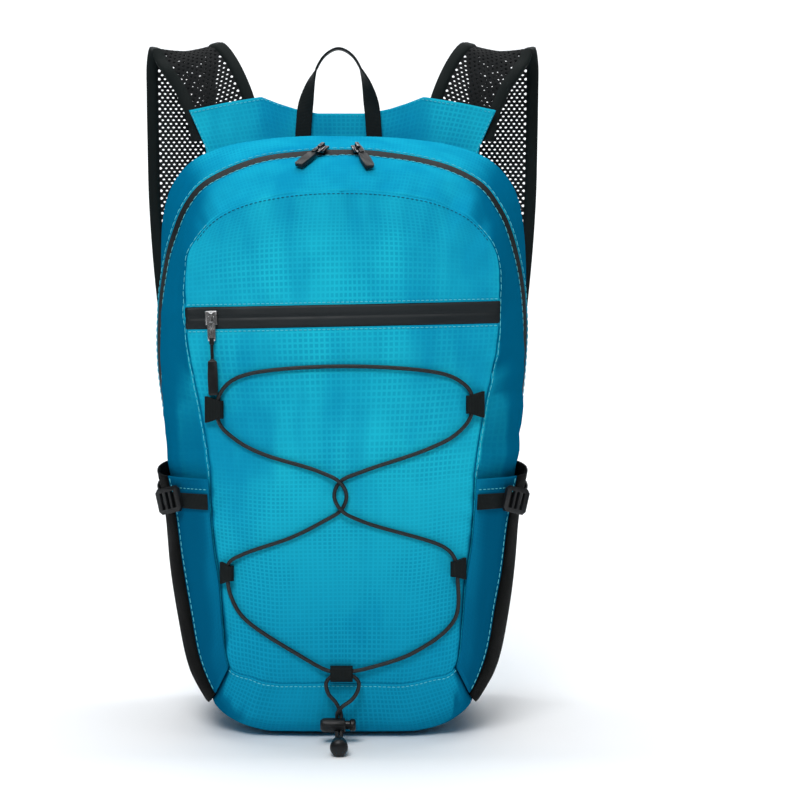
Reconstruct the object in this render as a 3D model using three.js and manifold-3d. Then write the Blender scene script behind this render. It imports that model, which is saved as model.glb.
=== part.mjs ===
// A packable backpack in thin ripstop cloth, standing on its base.
// Millimetres, +Z up, +X to the right as seen from the front, the front faces -Y.
// The origin lies on the flat middle of the base, under the widest line of the body.

import * as THREE from 'three';
import { mergeVertices } from 'three/addons/utils/BufferGeometryUtils.js';
import Module from 'manifold-3d';

// Driving dimensions

const BODY_WIDTH = 276;        // across the widest line of the body
const BODY_HEIGHT = 431;       // base to the top of the arch
const BODY_DEPTH = 164;        // back panel to the fullest point of the front
const BACK_SHARE = 0.44;       // share of the depth that lies behind the widest line

const CLOTH = 1.4;             // wall of coated cloth with its seam allowance
const BACK_PAD = 3;            // back panel
const GAP = 0.3;               // clearance between neighbouring pieces
const ZIP_WIDTH = 4.8;         // main zip as it shows
const BAND_HEIGHT = 15.5;      // front pocket's zip band
const BAND_LEVEL = BODY_HEIGHT * 0.69374;        // height of the band's middle
const BAND_TILT = 0.02;        // rise of the band for each mm to the right
const FRONT_CROWN = 10;        // how far the front pocket's middle stands proud of its seam
const POCKET_MOUTH = BODY_HEIGHT * 0.42923;      // height of the side pockets' hem
const POCKET_WALL = 1.3;       // stretch cloth of the side pockets
const SEAT = 0.8;              // clearance under a side pocket's sewn edges

const CORD = 2.8;              // elastic cord
const CORD_REST = 0.6;         // clearance under the cord
const LOOP_WEB = 1.2;          // webbing of the small cord loops
const LOOP_ROOM = 0.6;         // clearance round the cord in a loop

const STRAP_WIDTH = 55;        // shoulder strap over its binding
const STRAP_THICK = 4;         // shoulder strap's spacer mesh
const BINDING = 9;             // bound edge of the strap
const WEBBING = 20;            // adjusting webbing
const WEB_THICK = 1.5;
const HANDLE_WEB = 12;         // grab handle's webbing
const HANDLE_SPAN = 55.4;      // between the middles of the handle's feet
const HANDLE_RISE = 75;        // handle's top above its feet
const HANDLE_SHIFT = -3;       // the handle sits slightly to one side
const HANDLE_FOOT = 0.9832;    // height of its feet, as a share of BODY_HEIGHT
const SIDE_WEB = 11;           // side compression webbing

const HALF_WIDTH = BODY_WIDTH / 2;
const MID_HEIGHT = BODY_HEIGHT / 2;
const BACK_Y = BODY_DEPTH * BACK_SHARE;

// Body outline and sections.
// Each row is a station on the right half of the outline, from the middle of the base to the top.
// wide: share of HALF_WIDTH, high: share of BODY_HEIGHT,
// zipIn, ringIn, seamIn: how far the main zip, the middle of the front ring and the front seam lie
// from the middle, as shares of the way to the outline;
// zipDeep, ringDeep: their places along Y, as shares of BODY_DEPTH.
const STATIONS = [
  { wide: 0.00, high: 0.000, zipIn: 1.00, zipDeep: -0.27, ringIn: 0.960, ringDeep: -0.475, seamIn: 0.810 },
  { wide: 0.20, high: 0.000, zipIn: 1.00, zipDeep: -0.27, ringIn: 0.960, ringDeep: -0.472, seamIn: 0.812 },
  { wide: 0.38, high: 0.000, zipIn: 1.00, zipDeep: -0.26, ringIn: 0.960, ringDeep: -0.465, seamIn: 0.814 },
  { wide: 0.56, high: 0.014, zipIn: 1.00, zipDeep: -0.24, ringIn: 0.955, ringDeep: -0.450, seamIn: 0.816 },
  { wide: 0.69, high: 0.045, zipIn: 1.00, zipDeep: -0.20, ringIn: 0.945, ringDeep: -0.430, seamIn: 0.832 },
  { wide: 0.77, high: 0.110, zipIn: 1.00, zipDeep: -0.12, ringIn: 0.940, ringDeep: -0.400, seamIn: 0.787 },
  { wide: 0.81, high: 0.190, zipIn: 1.00, zipDeep: -0.06, ringIn: 0.940, ringDeep: -0.370, seamIn: 0.768 },
  { wide: 0.845, high: 0.270, zipIn: 1.00, zipDeep: -0.02, ringIn: 0.942, ringDeep: -0.350, seamIn: 0.770 },
  { wide: 0.875, high: 0.350, zipIn: 1.00, zipDeep: 0.02, ringIn: 0.944, ringDeep: -0.335, seamIn: 0.762 },
  { wide: 0.930, high: 0.434, zipIn: 1.00, zipDeep: 0.04, ringIn: 0.945, ringDeep: -0.320, seamIn: 0.728 },
  { wide: 0.968, high: 0.560, zipIn: 1.00, zipDeep: 0.03, ringIn: 0.945, ringDeep: -0.300, seamIn: 0.748 },
  { wide: 0.992, high: 0.680, zipIn: 0.985, zipDeep: 0.00, ringIn: 0.935, ringDeep: -0.270, seamIn: 0.792 },
  { wide: 1.000, high: 0.775, zipIn: 0.945, zipDeep: -0.06, ringIn: 0.895, ringDeep: -0.255, seamIn: 0.802 },
  { wide: 0.985, high: 0.855, zipIn: 0.905, zipDeep: -0.12, ringIn: 0.865, ringDeep: -0.255, seamIn: 0.806 },
  { wide: 0.933, high: 0.912, zipIn: 0.893, zipDeep: -0.14, ringIn: 0.850, ringDeep: -0.265, seamIn: 0.785 },
  { wide: 0.820, high: 0.957, zipIn: 0.895, zipDeep: -0.14, ringIn: 0.848, ringDeep: -0.265, seamIn: 0.775 },
  { wide: 0.640, high: 0.982, zipIn: 0.905, zipDeep: -0.13, ringIn: 0.855, ringDeep: -0.265, seamIn: 0.778 },
  { wide: 0.420, high: 0.994, zipIn: 0.920, zipDeep: -0.12, ringIn: 0.866, ringDeep: -0.260, seamIn: 0.784 },
  { wide: 0.200, high: 0.999, zipIn: 0.928, zipDeep: -0.12, ringIn: 0.872, ringDeep: -0.260, seamIn: 0.789 },
  { wide: 0.000, high: 1.000, zipIn: 0.931, zipDeep: -0.12, ringIn: 0.874, ringDeep: -0.260, seamIn: 0.790 },
];

// The front seam's distance forward, by height.
const FRONT_EDGE = [
  { high: 0.00, deep: 0.500 },
  { high: 0.11, deep: 0.515 },
  { high: 0.25, deep: 0.510 },
  { high: 0.45, deep: 0.485 },
  { high: 0.65, deep: 0.450 },
  { high: 0.80, deep: 0.410 },
  { high: 0.90, deep: 0.370 },
  { high: 1.00, deep: 0.330 },
];

// The rear of each section: how far in from the outline, and how far back as a share of BACK_Y.
const REAR = [
  { into: 0.930, back: 1.00 },
  { into: 0.982, back: 0.90 },
  { into: 1.000, back: 0.58 },
];

// How far a side pocket's middle stands off the body, as a share of HALF_WIDTH, by height.
const POCKET_ROOM = [
  { high: 0.020, room: 0.004 },
  { high: 0.050, room: 0.012 },
  { high: 0.100, room: 0.045 },
  { high: 0.180, room: 0.060 },
  { high: 0.300, room: 0.062 },
  { high: 0.413, room: 0.049 },
];

// Base corners, where the side pockets and the rings stop and the base panel begins.
const BASE_CORNER = 4.0;      // station number
const ZIP_END = 9;             // station number of the main zip's lower ends
const SHOULDER = 14.5;         // station number where the front pocket's side turns into its arch

const CLOTH_BLUE = { color: 0x1693bd, roughness: 0.55, metalness: 0 };
const WEB_BLACK = { color: 0x17191b, roughness: 0.85, metalness: 0 };
const MESH_BLACK = { color: 0x2a2c2e, roughness: 0.9, metalness: 0 };
const PLASTIC = { color: 0x1b1d1f, roughness: 0.45, metalness: 0 };
const SILVER = { color: 0xb9bcc0, roughness: 0.3, metalness: 1 };
const GUNMETAL = { color: 0x4a4d50, roughness: 0.35, metalness: 1 };

const wasm = await Module();
wasm.setup();

const backpack = new THREE.Group();
backpack.name = 'packable_backpack';

const vec = (x, y, z) => new THREE.Vector3(x, y, z);
const clamp = (value, low, high) => Math.min(high, Math.max(low, value));
const range = (count) => Array.from({ length: count + 1 }, (_, i) => i / count);
const lerp = (a, b, t) => a + (b - a) * t;

function add(name, geometry, finish, place = null) {
  const mesh = new THREE.Mesh(geometry, new THREE.MeshStandardMaterial(finish));
  mesh.name = name;
  if (place) mesh.applyMatrix4(place);
  backpack.add(mesh);
}

// A piece on the right side and its mirror image on the left.
function addPair(name, geometry, finish, place = new THREE.Matrix4()) {
  const right = geometry.index ? geometry.toNonIndexed() : geometry;
  right.applyMatrix4(place);
  const left = right.clone();
  const at = left.attributes.position;
  for (let i = 0; i < at.count; i += 3) {
    const corners = [0, 2, 1].map((k) => [-right.attributes.position.getX(i + k),
      right.attributes.position.getY(i + k), right.attributes.position.getZ(i + k)]);
    corners.forEach((corner, k) => at.setXYZ(i + k, ...corner));
  }
  add(`${name}_R`, right, finish);
  add(`${name}_L`, left, finish);
}

// Value of a column at a station number, on a smooth curve through the rows.
function along(rows, column, at) {
  const last = rows.length - 1;
  const i = clamp(Math.floor(at), 0, last - 1);
  const t = at - i;
  const value = (k) => rows[clamp(k, 0, last)][column];
  const [a, b, c, d] = [value(i - 1), value(i), value(i + 1), value(i + 2)];
  return b + 0.5 * t * (c - a + t * (2 * a - 5 * b + 4 * c - d + t * (3 * (b - c) + d - a)));
}

// Value of a column where the rows' key column has a given value.
function lookup(rows, key, column, wanted) {
  const last = rows.length - 1;
  if (wanted <= rows[0][key]) return rows[0][column];
  if (wanted >= rows[last][key]) return rows[last][column];
  const i = rows.findIndex((row) => row[key] > wanted) - 1;
  const t = (wanted - rows[i][key]) / (rows[i + 1][key] - rows[i][key]);
  return along(rows, column, i + t);
}

// The body's surface

const TOP_STATION = STATIONS.length - 1;
const seamDepth = (z) => -BODY_DEPTH * lookup(FRONT_EDGE, 'high', 'deep', z / BODY_HEIGHT);

// A station number runs from -TOP_STATION (top, by the left) through 0 (base) to TOP_STATION.
function outlinePoint(station, into) {
  const side = Math.sign(station);
  const at = Math.abs(station);
  const x = side * HALF_WIDTH * Math.max(0, along(STATIONS, 'wide', at));
  const z = BODY_HEIGHT * clamp(along(STATIONS, 'high', at), 0, 1);
  return { x: x * into, z: MID_HEIGHT + (z - MID_HEIGHT) * into };
}

// The six places that a section passes, from the back panel's edge to the front seam.
function section(station) {
  const at = Math.abs(station);
  const seamIn = along(STATIONS, 'seamIn', at);
  const seam = outlinePoint(station, seamIn);
  return [
    ...REAR.map((row) => ({ into: row.into, y: row.back * BACK_Y })),
    { into: Math.min(1, along(STATIONS, 'zipIn', at)), y: BODY_DEPTH * along(STATIONS, 'zipDeep', at) },
    { into: along(STATIONS, 'ringIn', at), y: BODY_DEPTH * along(STATIONS, 'ringDeep', at) },
    { into: seamIn, y: seamDepth(seam.z) },
  ];
}
const ZIP_PLACE = 3;
const SEAM_PLACE = 5;

function bodyPoint(station, place) {
  const rows = section(station);
  const into = Math.min(1, along(rows, 'into', place));
  const { x, z } = outlinePoint(station, into);
  return vec(x, along(rows, 'y', place), z);
}

// A unit vector from a point on the body towards its inside. It depends on the place alone, so
// neighbouring walls have parallel edges.
function inwards(p) {
  const cube = (value, half) => (value / half) ** 3 / half;
  const y = p.y > 0 ? cube(p.y, BACK_Y) : cube(p.y, BODY_DEPTH / 2);
  return vec(-cube(p.x, HALF_WIDTH), -y, -cube(p.z - MID_HEIGHT, MID_HEIGHT)).normalize();
}

// Distance of the front seam from the middle in each direction.
const SEAM_RAYS = range(240).map((u) => {
  const station = lerp(-TOP_STATION, TOP_STATION, u);
  const { x, z } = outlinePoint(station, along(STATIONS, 'seamIn', Math.abs(station)));
  return { turn: Math.atan2(x, MID_HEIGHT - z), reach: Math.hypot(x, z - MID_HEIGHT), x, z, station };
});

function frontY(x, z) {
  const turn = Math.atan2(x, MID_HEIGHT - z);
  const i = clamp(SEAM_RAYS.findIndex((ray) => ray.turn > turn), 1, SEAM_RAYS.length - 1);
  const [a, b] = [SEAM_RAYS[i - 1], SEAM_RAYS[i]];
  const t = clamp((turn - a.turn) / (b.turn - a.turn || 1), 0, 1);
  const share = Math.min(1, Math.hypot(x, z - MID_HEIGHT) / lerp(a.reach, b.reach, t));
  return seamDepth(z) - FRONT_CROWN * (1 - share * share);
}

const seamPoint = (station) => bodyPoint(station, SEAM_PLACE);

// Closed wall from a grid of outer points, its inner face a wall's thickness inwards.
function wallFrom(grid, wall, inward = inwards) {
  const rows = grid.length;
  const columns = grid[0].length;
  const points = [];
  for (const row of grid) for (const p of row) points.push(p);
  for (const row of grid) for (const p of row) points.push(p.clone().addScaledVector(inward(p), wall));
  const outer = (i, j) => i * columns + j;
  const inner = (i, j) => rows * columns + i * columns + j;
  const faces = [];
  const quad = (a, b, c, d) => faces.push(a, b, c, a, c, d);
  for (let i = 0; i < rows - 1; i += 1) {
    for (let j = 0; j < columns - 1; j += 1) {
      quad(outer(i, j), outer(i, j + 1), outer(i + 1, j + 1), outer(i + 1, j));
      quad(inner(i, j), inner(i + 1, j), inner(i + 1, j + 1), inner(i, j + 1));
    }
  }
  for (let i = 0; i < rows - 1; i += 1) {
    const j = columns - 1;
    quad(outer(i, 0), outer(i + 1, 0), inner(i + 1, 0), inner(i, 0));
    quad(outer(i, j), inner(i, j), inner(i + 1, j), outer(i + 1, j));
  }
  for (let j = 0; j < columns - 1; j += 1) {
    const i = rows - 1;
    quad(outer(0, j), inner(0, j), inner(0, j + 1), outer(0, j + 1));
    quad(outer(i, j), outer(i, j + 1), inner(i, j + 1), inner(i, j));
  }
  return closedGeometry(points, faces);
}

// Geometry with its faces pointing out, whichever way the grid ran.
function closedGeometry(points, faces) {
  let volume = 0;
  for (let k = 0; k < faces.length; k += 3) {
    const [a, b, c] = [points[faces[k]], points[faces[k + 1]], points[faces[k + 2]]];
    volume += a.dot(b.clone().cross(c));
  }
  for (let k = 0; volume < 0 && k < faces.length; k += 3) {
    faces.splice(k, 3, faces[k], faces[k + 2], faces[k + 1]);
  }
  const geometry = new THREE.BufferGeometry();
  const numbers = points.flatMap((p) => [p.x, p.y, p.z]);
  geometry.setAttribute('position', new THREE.Float32BufferAttribute(numbers, 3));
  geometry.setIndex(faces);
  return geometry;
}

function solidOf(geometry) {
  const plain = geometry.clone();
  plain.deleteAttribute('normal');
  plain.deleteAttribute('uv');
  const merged = mergeVertices(plain, 1e-4);
  return new wasm.Manifold(new wasm.Mesh({
    numProp: 3,
    vertProperties: new Float32Array(merged.attributes.position.array),
    triVerts: new Uint32Array(merged.index.array),
  }));
}

function geometryOf(solid) {
  const mesh = solid.getMesh();
  const geometry = new THREE.BufferGeometry();
  geometry.setAttribute('position', new THREE.BufferAttribute(new Float32Array(mesh.vertProperties), 3));
  geometry.setIndex(new THREE.BufferAttribute(new Uint32Array(mesh.triVerts), 1));
  return geometry;
}

const cut = (body, ...tools) => geometryOf(
  tools.reduce((solid, tool) => solid.subtract(solidOf(tool)), solidOf(body)),
);
const join = (...parts) => geometryOf(parts.map(solidOf).reduce((a, b) => a.add(b)));

// Turns a width in mm into a step along a section, near a place.
function placeStep(station, place, width) {
  const near = bodyPoint(station, place).distanceTo(bodyPoint(station, place - 0.05));
  return (0.05 * width) / near;
}

const spread = (from, to, count) => range(count).map((u) => lerp(from, to, u));

// Stations up one side of the body, from its base corner to the top. All bands share them.
const sideStations = spread(BASE_CORNER + 0.03, TOP_STATION, 23);
const zipStations = sideStations.filter((s) => s >= ZIP_END);
const shoulderIndex = sideStations.findIndex((s) => s > SHOULDER);
const FRONT_COLUMNS = 2 * (sideStations.length - 1 - shoulderIndex);
const baseStations = spread(-BASE_CORNER, BASE_CORNER, FRONT_COLUMNS);

// Walks up the right side, over the top and down the left side. Left stations are negative.
function archGrid(right, rowAt) {
  const left = right.slice(0, -1).map((s) => -s).reverse();
  return [...right, ...left].map(rowAt);
}

// Half of what the main zip takes up between its neighbours at a station.
const zipRoom = (s) => (Math.abs(s) >= zipStations[0] ? ZIP_WIDTH / 2 + GAP : GAP / 2);

const rearPlaces = (end) => [0, 0.5, 1, 1.6, 2.3, end];
const frontPlaces = (start, end) => spread(start, end, 5);
const seamEnd = (s) => SEAM_PLACE - placeStep(s, SEAM_PLACE, GAP / 2);

function rearGusset() {
  const grid = archGrid(sideStations, (s) => {
    const end = ZIP_PLACE - placeStep(s, ZIP_PLACE, zipRoom(s));
    return rearPlaces(end).map((place) => bodyPoint(s, place));
  });
  add('rear_gusset', wallFrom(grid, CLOTH), CLOTH_BLUE);
}

function mainZip() {
  const grid = archGrid(zipStations, (s) => [-1, 1].map((side) => {
    const step = placeStep(s, ZIP_PLACE, ZIP_WIDTH / 2);
    return bodyPoint(s, ZIP_PLACE + side * step);
  }));
  add('main_zip', wallFrom(grid, CLOTH), WEB_BLACK);
}

function frontRing() {
  const grid = archGrid(sideStations, (s) => {
    const start = ZIP_PLACE + placeStep(s, ZIP_PLACE, zipRoom(s));
    return frontPlaces(start, seamEnd(s)).map((place) => bodyPoint(s, place));
  });
  add('front_ring', wallFrom(grid, CLOTH), CLOTH_BLUE);
}

function basePanel() {
  const grid = baseStations.map((s) => {
    const places = [...rearPlaces(ZIP_PLACE), ...frontPlaces(ZIP_PLACE, seamEnd(s)).slice(1)];
    return places.map((place) => bodyPoint(s, place));
  });
  add('base_panel', wallFrom(grid, CLOTH), CLOTH_BLUE);
}

function backPanel() {
  const inset = GAP + CLOTH;
  const loop = spread(-TOP_STATION, TOP_STATION, 64).slice(0, -1).map((s) => {
    const p = bodyPoint(s, 0);
    const away = vec(-p.x, 0, MID_HEIGHT - p.z).normalize();
    return p.addScaledVector(away, inset);
  });
  const shape = new THREE.Shape(loop.map((p) => new THREE.Vector2(p.x, p.z)));
  const plate = new THREE.ExtrudeGeometry(shape, { depth: BACK_PAD, bevelEnabled: false });
  plate.rotateX(Math.PI / 2);
  plate.translate(0, BACK_Y, 0);
  add('back_panel', plate, CLOTH_BLUE);
}

// The front pocket

// The front ring's edge on the right side, as the points that its neighbours meet.
const ringEdge = sideStations.map(seamPoint);

// How far the ring's edge lies from the middle at a height.
function ringReach(z) {
  const i = clamp(ringEdge.findIndex((p) => p.z > z), 1, ringEdge.length - 1);
  const [a, b] = [ringEdge[i - 1], ringEdge[i]];
  return lerp(a.x, b.x, clamp((z - a.z) / (b.z - a.z), 0, 1));
}

const onFront = (x, z) => vec(x, frontY(x, z), z);
const baseEdge = baseStations.map(seamPoint);
const acrossShares = baseEdge.map((p) => p.x / baseEdge[FRONT_COLUMNS].x);

const BAND_REACH = 0.77;       // where the band meets the ring, as a share of HALF_WIDTH

// A row of front points between the ring's edges, level at its ends or tilted like the band.
function frontRow(level, tilt) {
  const reach = [-1, 1].map((side) => ringReach(level + side * tilt * HALF_WIDTH * BAND_REACH) - GAP);
  return acrossShares.map((share) => {
    const x = share * (share < 0 ? reach[0] : reach[1]);
    return onFront(x, level + tilt * x);
  });
}

// The ring's edge drawn in by a clearance, on either side.
function insideRing(s) {
  const p = seamPoint(s);
  const towards = vec(-p.x, 0, MID_HEIGHT - p.z).normalize();
  p.addScaledVector(towards, GAP);
  return onFront(p.x, p.z);
}

const ROW_ROOM = 3;            // least height between the zip band and the panel's next row

function pocketUpper() {
  const bottom = frontRow(BAND_LEVEL + BAND_HEIGHT / 2 + GAP, BAND_TILT);
  const lowest = bottom[FRONT_COLUMNS].z + ROW_ROOM;
  const sides = sideStations.filter((s, i) => i <= shoulderIndex && seamPoint(s).z > lowest);
  const right = [bottom[FRONT_COLUMNS], ...sides.map(insideRing)];
  const left = [bottom[0], ...sides.map((s) => insideRing(-s))];
  const arch = archGrid(sideStations.slice(shoulderIndex), insideRing).reverse();
  const grid = range(sides.length).map((v, i) => range(FRONT_COLUMNS).map((_, j) => {
    const u = (acrossShares[j] + 1) / 2;
    const across = left[i].clone().lerp(right[i], u);
    const up = bottom[j].clone().lerp(arch[j], v);
    const flat = bottom[0].clone().lerp(bottom[FRONT_COLUMNS], u)
      .lerp(arch[0].clone().lerp(arch[FRONT_COLUMNS], u), v);
    const p = across.add(up).sub(flat);
    return onFront(p.x, p.z);
  }));
  add('pocket_upper', wallFrom(grid, CLOTH), CLOTH_BLUE);
}

function pocketZipBand() {
  const grid = [-1, -0.4, 0.4, 1].map((side) => frontRow(BAND_LEVEL + (side * BAND_HEIGHT) / 2, BAND_TILT));
  add('pocket_zip_band', wallFrom(grid, CLOTH), WEB_BLACK);
}

function pocketLower() {
  const top = frontRow(BAND_LEVEL - BAND_HEIGHT / 2 - GAP, BAND_TILT);
  const bottom = baseEdge.map((p, j) => {
    const edge = 1 - (GAP / baseEdge[FRONT_COLUMNS].x) * 2;
    return onFront(acrossShares[j] * baseEdge[FRONT_COLUMNS].x * edge, p.z + GAP);
  });
  const levels = ringEdge.map((p) => p.z).filter((z) => z > bottom[0].z + 4 && z < top[0].z - 4);
  const lift = (z) => 1 - (z - bottom[0].z) / (top[0].z - bottom[0].z);
  const rows = levels.map((z) => acrossShares.map((share, j) => {
    const x = share * (ringReach(z) - GAP);
    const sink = (bottom[j].z - bottom[0].z) * lift(z) ** 2;
    const rise = (top[j].z - top[0].z) * (1 - lift(z)) ** 2;
    return onFront(x, z + sink + (share > -1 && share < 1 ? rise : 0));
  }));
  add('pocket_lower', wallFrom([bottom, ...rows, top], CLOTH), CLOTH_BLUE);
}

// Side pockets

const POCKET_REAR = 1.3;       // place of the pocket's rear edge on a section
const POCKET_EDGE = 4.1;       // place of the seam between its blue strip and its black side
const STRIP_PLACES = [SEAM_PLACE - 0.04, 4.8, 4.6, 4.35];
const SIDE_PLACES = [3.6, 3.2, 2.8, 2.4, 2, 1.65, POCKET_REAR];
const pocketRows = [0, 0.06, 0.14, 0.24, 0.36, 0.5, 0.66, 0.82, 1];

// Station where a place of the sections reaches a height.
function levelStation(place, z) {
  let [low, high] = [BASE_CORNER, SHOULDER];
  for (let i = 0; i < 40; i += 1) {
    const middle = (low + high) / 2;
    if (bodyPoint(middle, place).z < z) low = middle;
    else high = middle;
  }
  return low;
}

// A side pocket stands off the body, most in its middle and hardly at its sewn edges.
function pocketPoint(station, place) {
  const p = bodyPoint(station, place);
  const out = inwards(p).negate();
  const high = outlinePoint(Math.abs(station), 1).z / BODY_HEIGHT;
  const full = Math.sin(Math.PI * clamp((place - POCKET_REAR) / (SEAM_PLACE - POCKET_REAR), 0, 1));
  const room = HALF_WIDTH * lookup(POCKET_ROOM, 'high', 'room', high) * Math.max(0, full) ** 0.6;
  return p.addScaledVector(out, POCKET_WALL + SEAT + room);
}

function sidePockets() {
  const column = (place) => {
    const top = levelStation(place, POCKET_MOUTH);
    return pocketRows.map((v) => pocketPoint(lerp(sideStations[0], top, v), place));
  };
  const part = (places) => {
    const columns = places.map(column);
    return wallFrom(pocketRows.map((_, i) => columns.map((points) => points[i])), POCKET_WALL);
  };
  const step = placeStep(ZIP_END, POCKET_EDGE, GAP / 2);
  addPair('side_pocket_panel', part([...STRIP_PLACES, POCKET_EDGE + step]), CLOTH_BLUE);
  addPair('side_pocket_mesh', part([POCKET_EDGE - step, ...SIDE_PLACES]), MESH_BLACK);
}

// Straps, yoke and handle

// Closed body through rings of points, all with as many points.
function sweep(rings) {
  const count = rings[0].length;
  const faces = [];
  const at = (i, k) => i * count + (k % count);
  for (let i = 0; i < rings.length - 1; i += 1) {
    for (let k = 0; k < count; k += 1) {
      faces.push(at(i, k), at(i, k + 1), at(i + 1, k + 1), at(i, k), at(i + 1, k + 1), at(i + 1, k));
    }
  }
  const last = rings.length - 1;
  for (let k = 1; k < count - 1; k += 1) {
    faces.push(at(0, 0), at(0, k + 1), at(0, k), at(last, 0), at(last, k), at(last, k + 1));
  }
  return closedGeometry(rings.flat(), faces);
}

// Four corners of a flat band's section.
function bandRing(centre, across, out, width, thick) {
  const corner = (a, b) => (
    centre.clone().addScaledVector(across, (a * width) / 2).addScaledVector(out, (b * thick) / 2)
  );
  return [corner(-1, -1), corner(1, -1), corner(1, 1), corner(-1, 1)];
}

// Flat webbing along a curve. acrossAt gives its width's direction, before it is squared up.
function webbing(curve, acrossAt, width, thick, shares) {
  return sweep(shares.map((u) => {
    const way = curve.getTangentAt(u);
    const across = acrossAt(u);
    across.addScaledVector(way, -across.dot(way)).normalize();
    return bandRing(curve.getPointAt(u), across, way.clone().cross(across), width, thick);
  }));
}

const smoothCurve = (points) => new THREE.CatmullRomCurve3(points, false, 'centripetal');

// Middle line of the right shoulder strap: out: share of HALF_WIDTH, back: mm behind the back panel,
// high: share of BODY_HEIGHT.
const STRAP_LINE = [
  { out: 0.648, back: 4.6, high: 1.010 },
  { out: 0.690, back: 9.6, high: 1.062 },
  { out: 0.775, back: 18.0, high: 1.120 },
  { out: 0.850, back: 26.0, high: 1.150 },
  { out: 0.895, back: 36.0, high: 1.162 },
  { out: 0.920, back: 46.0, high: 1.139 },
  { out: 0.925, back: 51.0, high: 1.090 },
  { out: 0.925, back: 55.0, high: 1.000 },
  { out: 0.920, back: 56.0, high: 0.900 },
  { out: 0.900, back: 54.0, high: 0.800 },
  { out: 0.865, back: 49.0, high: 0.690 },
  { out: 0.825, back: 42.0, high: 0.580 },
];
const STRAP_TURN = 0.19;       // slope of the strap's width where it leaves the yoke
const STRAP_TURN_END = 2.7;    // the slope is gone after one part in this many of its length

const strapCurve = smoothCurve(STRAP_LINE.map((row) => (
  vec(row.out * HALF_WIDTH, BACK_Y + row.back, row.high * BODY_HEIGHT))));

function shoulderStraps() {
  const curve = strapCurve;
  const acrossAt = (u) => vec(1, 0, -STRAP_TURN * Math.max(0, 1 - u * STRAP_TURN_END));
  const shares = spread(0, 1, 16);
  const inner = shares.slice(1, -1);
  const whole = webbing(curve, acrossAt, STRAP_WIDTH, STRAP_THICK, shares);
  const middle = STRAP_WIDTH - 2 * BINDING;
  const window = webbing(curve, acrossAt, middle, STRAP_THICK * 1.5, inner);
  const ends = GAP / curve.getLength();
  const meshShares = [inner[0] + ends, ...inner.slice(1, -1), inner[inner.length - 1] - ends];
  addPair('strap_binding', cut(whole, window), WEB_BLACK);
  const mesh = webbing(curve, acrossAt, middle - 2 * GAP, STRAP_THICK - 1, meshShares);
  addPair('strap_mesh', mesh, MESH_BLACK);
}

// Adjuster plate with slots, standing in the XZ plane.
function adjuster(width, height, thick, slots, slotWidth) {
  const shape = new THREE.Shape();
  const [w, h, r] = [width / 2, height / 2, Math.min(width, height) * 0.14];
  shape.moveTo(-w + r, -h).lineTo(w - r, -h).lineTo(w, -h + r).lineTo(w, h - r);
  shape.lineTo(w - r, h).lineTo(-w + r, h).lineTo(-w, h - r).lineTo(-w, -h + r).closePath();
  for (const [low, high] of slots) {
    const hole = new THREE.Path();
    const s = slotWidth / 2;
    hole.moveTo(-s, low).lineTo(-s, high).lineTo(s, high).lineTo(s, low).closePath();
    shape.holes.push(hole);
  }
  const plate = new THREE.ExtrudeGeometry(shape, { depth: thick, bevelEnabled: false });
  plate.rotateX(Math.PI / 2);
  plate.translate(0, thick / 2, 0);
  return plate;
}

const LOCK_HEIGHT = 25;        // ladder lock
const LOCK_THICK = 3.5;
const LOCK_SLOT = 6.4;
const LOCK_BAR = 3;
const TAB_HIGH = 0.155;        // lower tab, as a share of BODY_HEIGHT
const TAB_OUT = 0.60;          // share of HALF_WIDTH
const TAB_LENGTH = 24;

function strapEnds() {
  const end = strapCurve.getPointAt(1);
  const down = strapCurve.getTangentAt(1);
  const middle = end.clone().addScaledVector(down, GAP + LOCK_HEIGHT / 2);
  const tab = vec(TAB_OUT * HALF_WIDTH, BACK_Y + GAP + WEB_THICK, TAB_HIGH * BODY_HEIGHT);
  const out = vec(1, 0, 0).cross(down).normalize();
  const across = down.clone().cross(out);
  const lock = new THREE.Matrix4().makeBasis(across, out.clone(), down.clone().negate());
  lock.setPosition(middle);
  const slots = [LOCK_BAR / 2, -LOCK_BAR / 2 - LOCK_SLOT].map((low) => [low, low + LOCK_SLOT]);
  const plate = adjuster(WEBBING + 8, LOCK_HEIGHT, LOCK_THICK, slots, WEBBING + 1.6);
  addPair('ladder_lock', plate, PLASTIC, lock);

  // The webbing passes behind the lower bar, over the middle bar and back through the upper slot.
  const off = LOCK_THICK / 2 + WEB_THICK / 2 + 0.6;
  const near = LOCK_BAR / 2 + LOCK_SLOT;
  const weave = [
    [-near - 5, off], [-near + 1.6, off * 0.92], [-near + 3.2, 0],
    [-LOCK_BAR / 2 - 0.6, -off * 0.98], [LOCK_BAR / 2 + 0.6, -off * 0.98],
    [near - 3.2, 0], [near - 1.6, off * 0.92], [near + 7, off + 0.5],
  ];
  const woven = weave.map(([z, y]) => vec(0, y, z).applyMatrix4(lock));
  const rise = woven[0].clone().lerp(tab, 0.5).add(vec(0, 3, 0));
  const start = tab.clone().add(vec(0, WEB_THICK + 0.2, TAB_LENGTH / 2));
  const line = smoothCurve([start, start.clone().add(vec(0, 1.4, 14)), rise, ...woven]);
  const shares = [...spread(0, 0.7, 6), ...spread(0.74, 1, 20)];
  addPair('strap_webbing', webbing(line, () => across.clone(), WEBBING, WEB_THICK, shares), WEB_BLACK);
  const piece = new THREE.BoxGeometry(WEBBING + 10, WEB_THICK, TAB_LENGTH);
  piece.translate(tab.x, tab.y - WEB_THICK / 2, tab.z);
  addPair('lower_tab', piece, CLOTH_BLUE);
}

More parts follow.
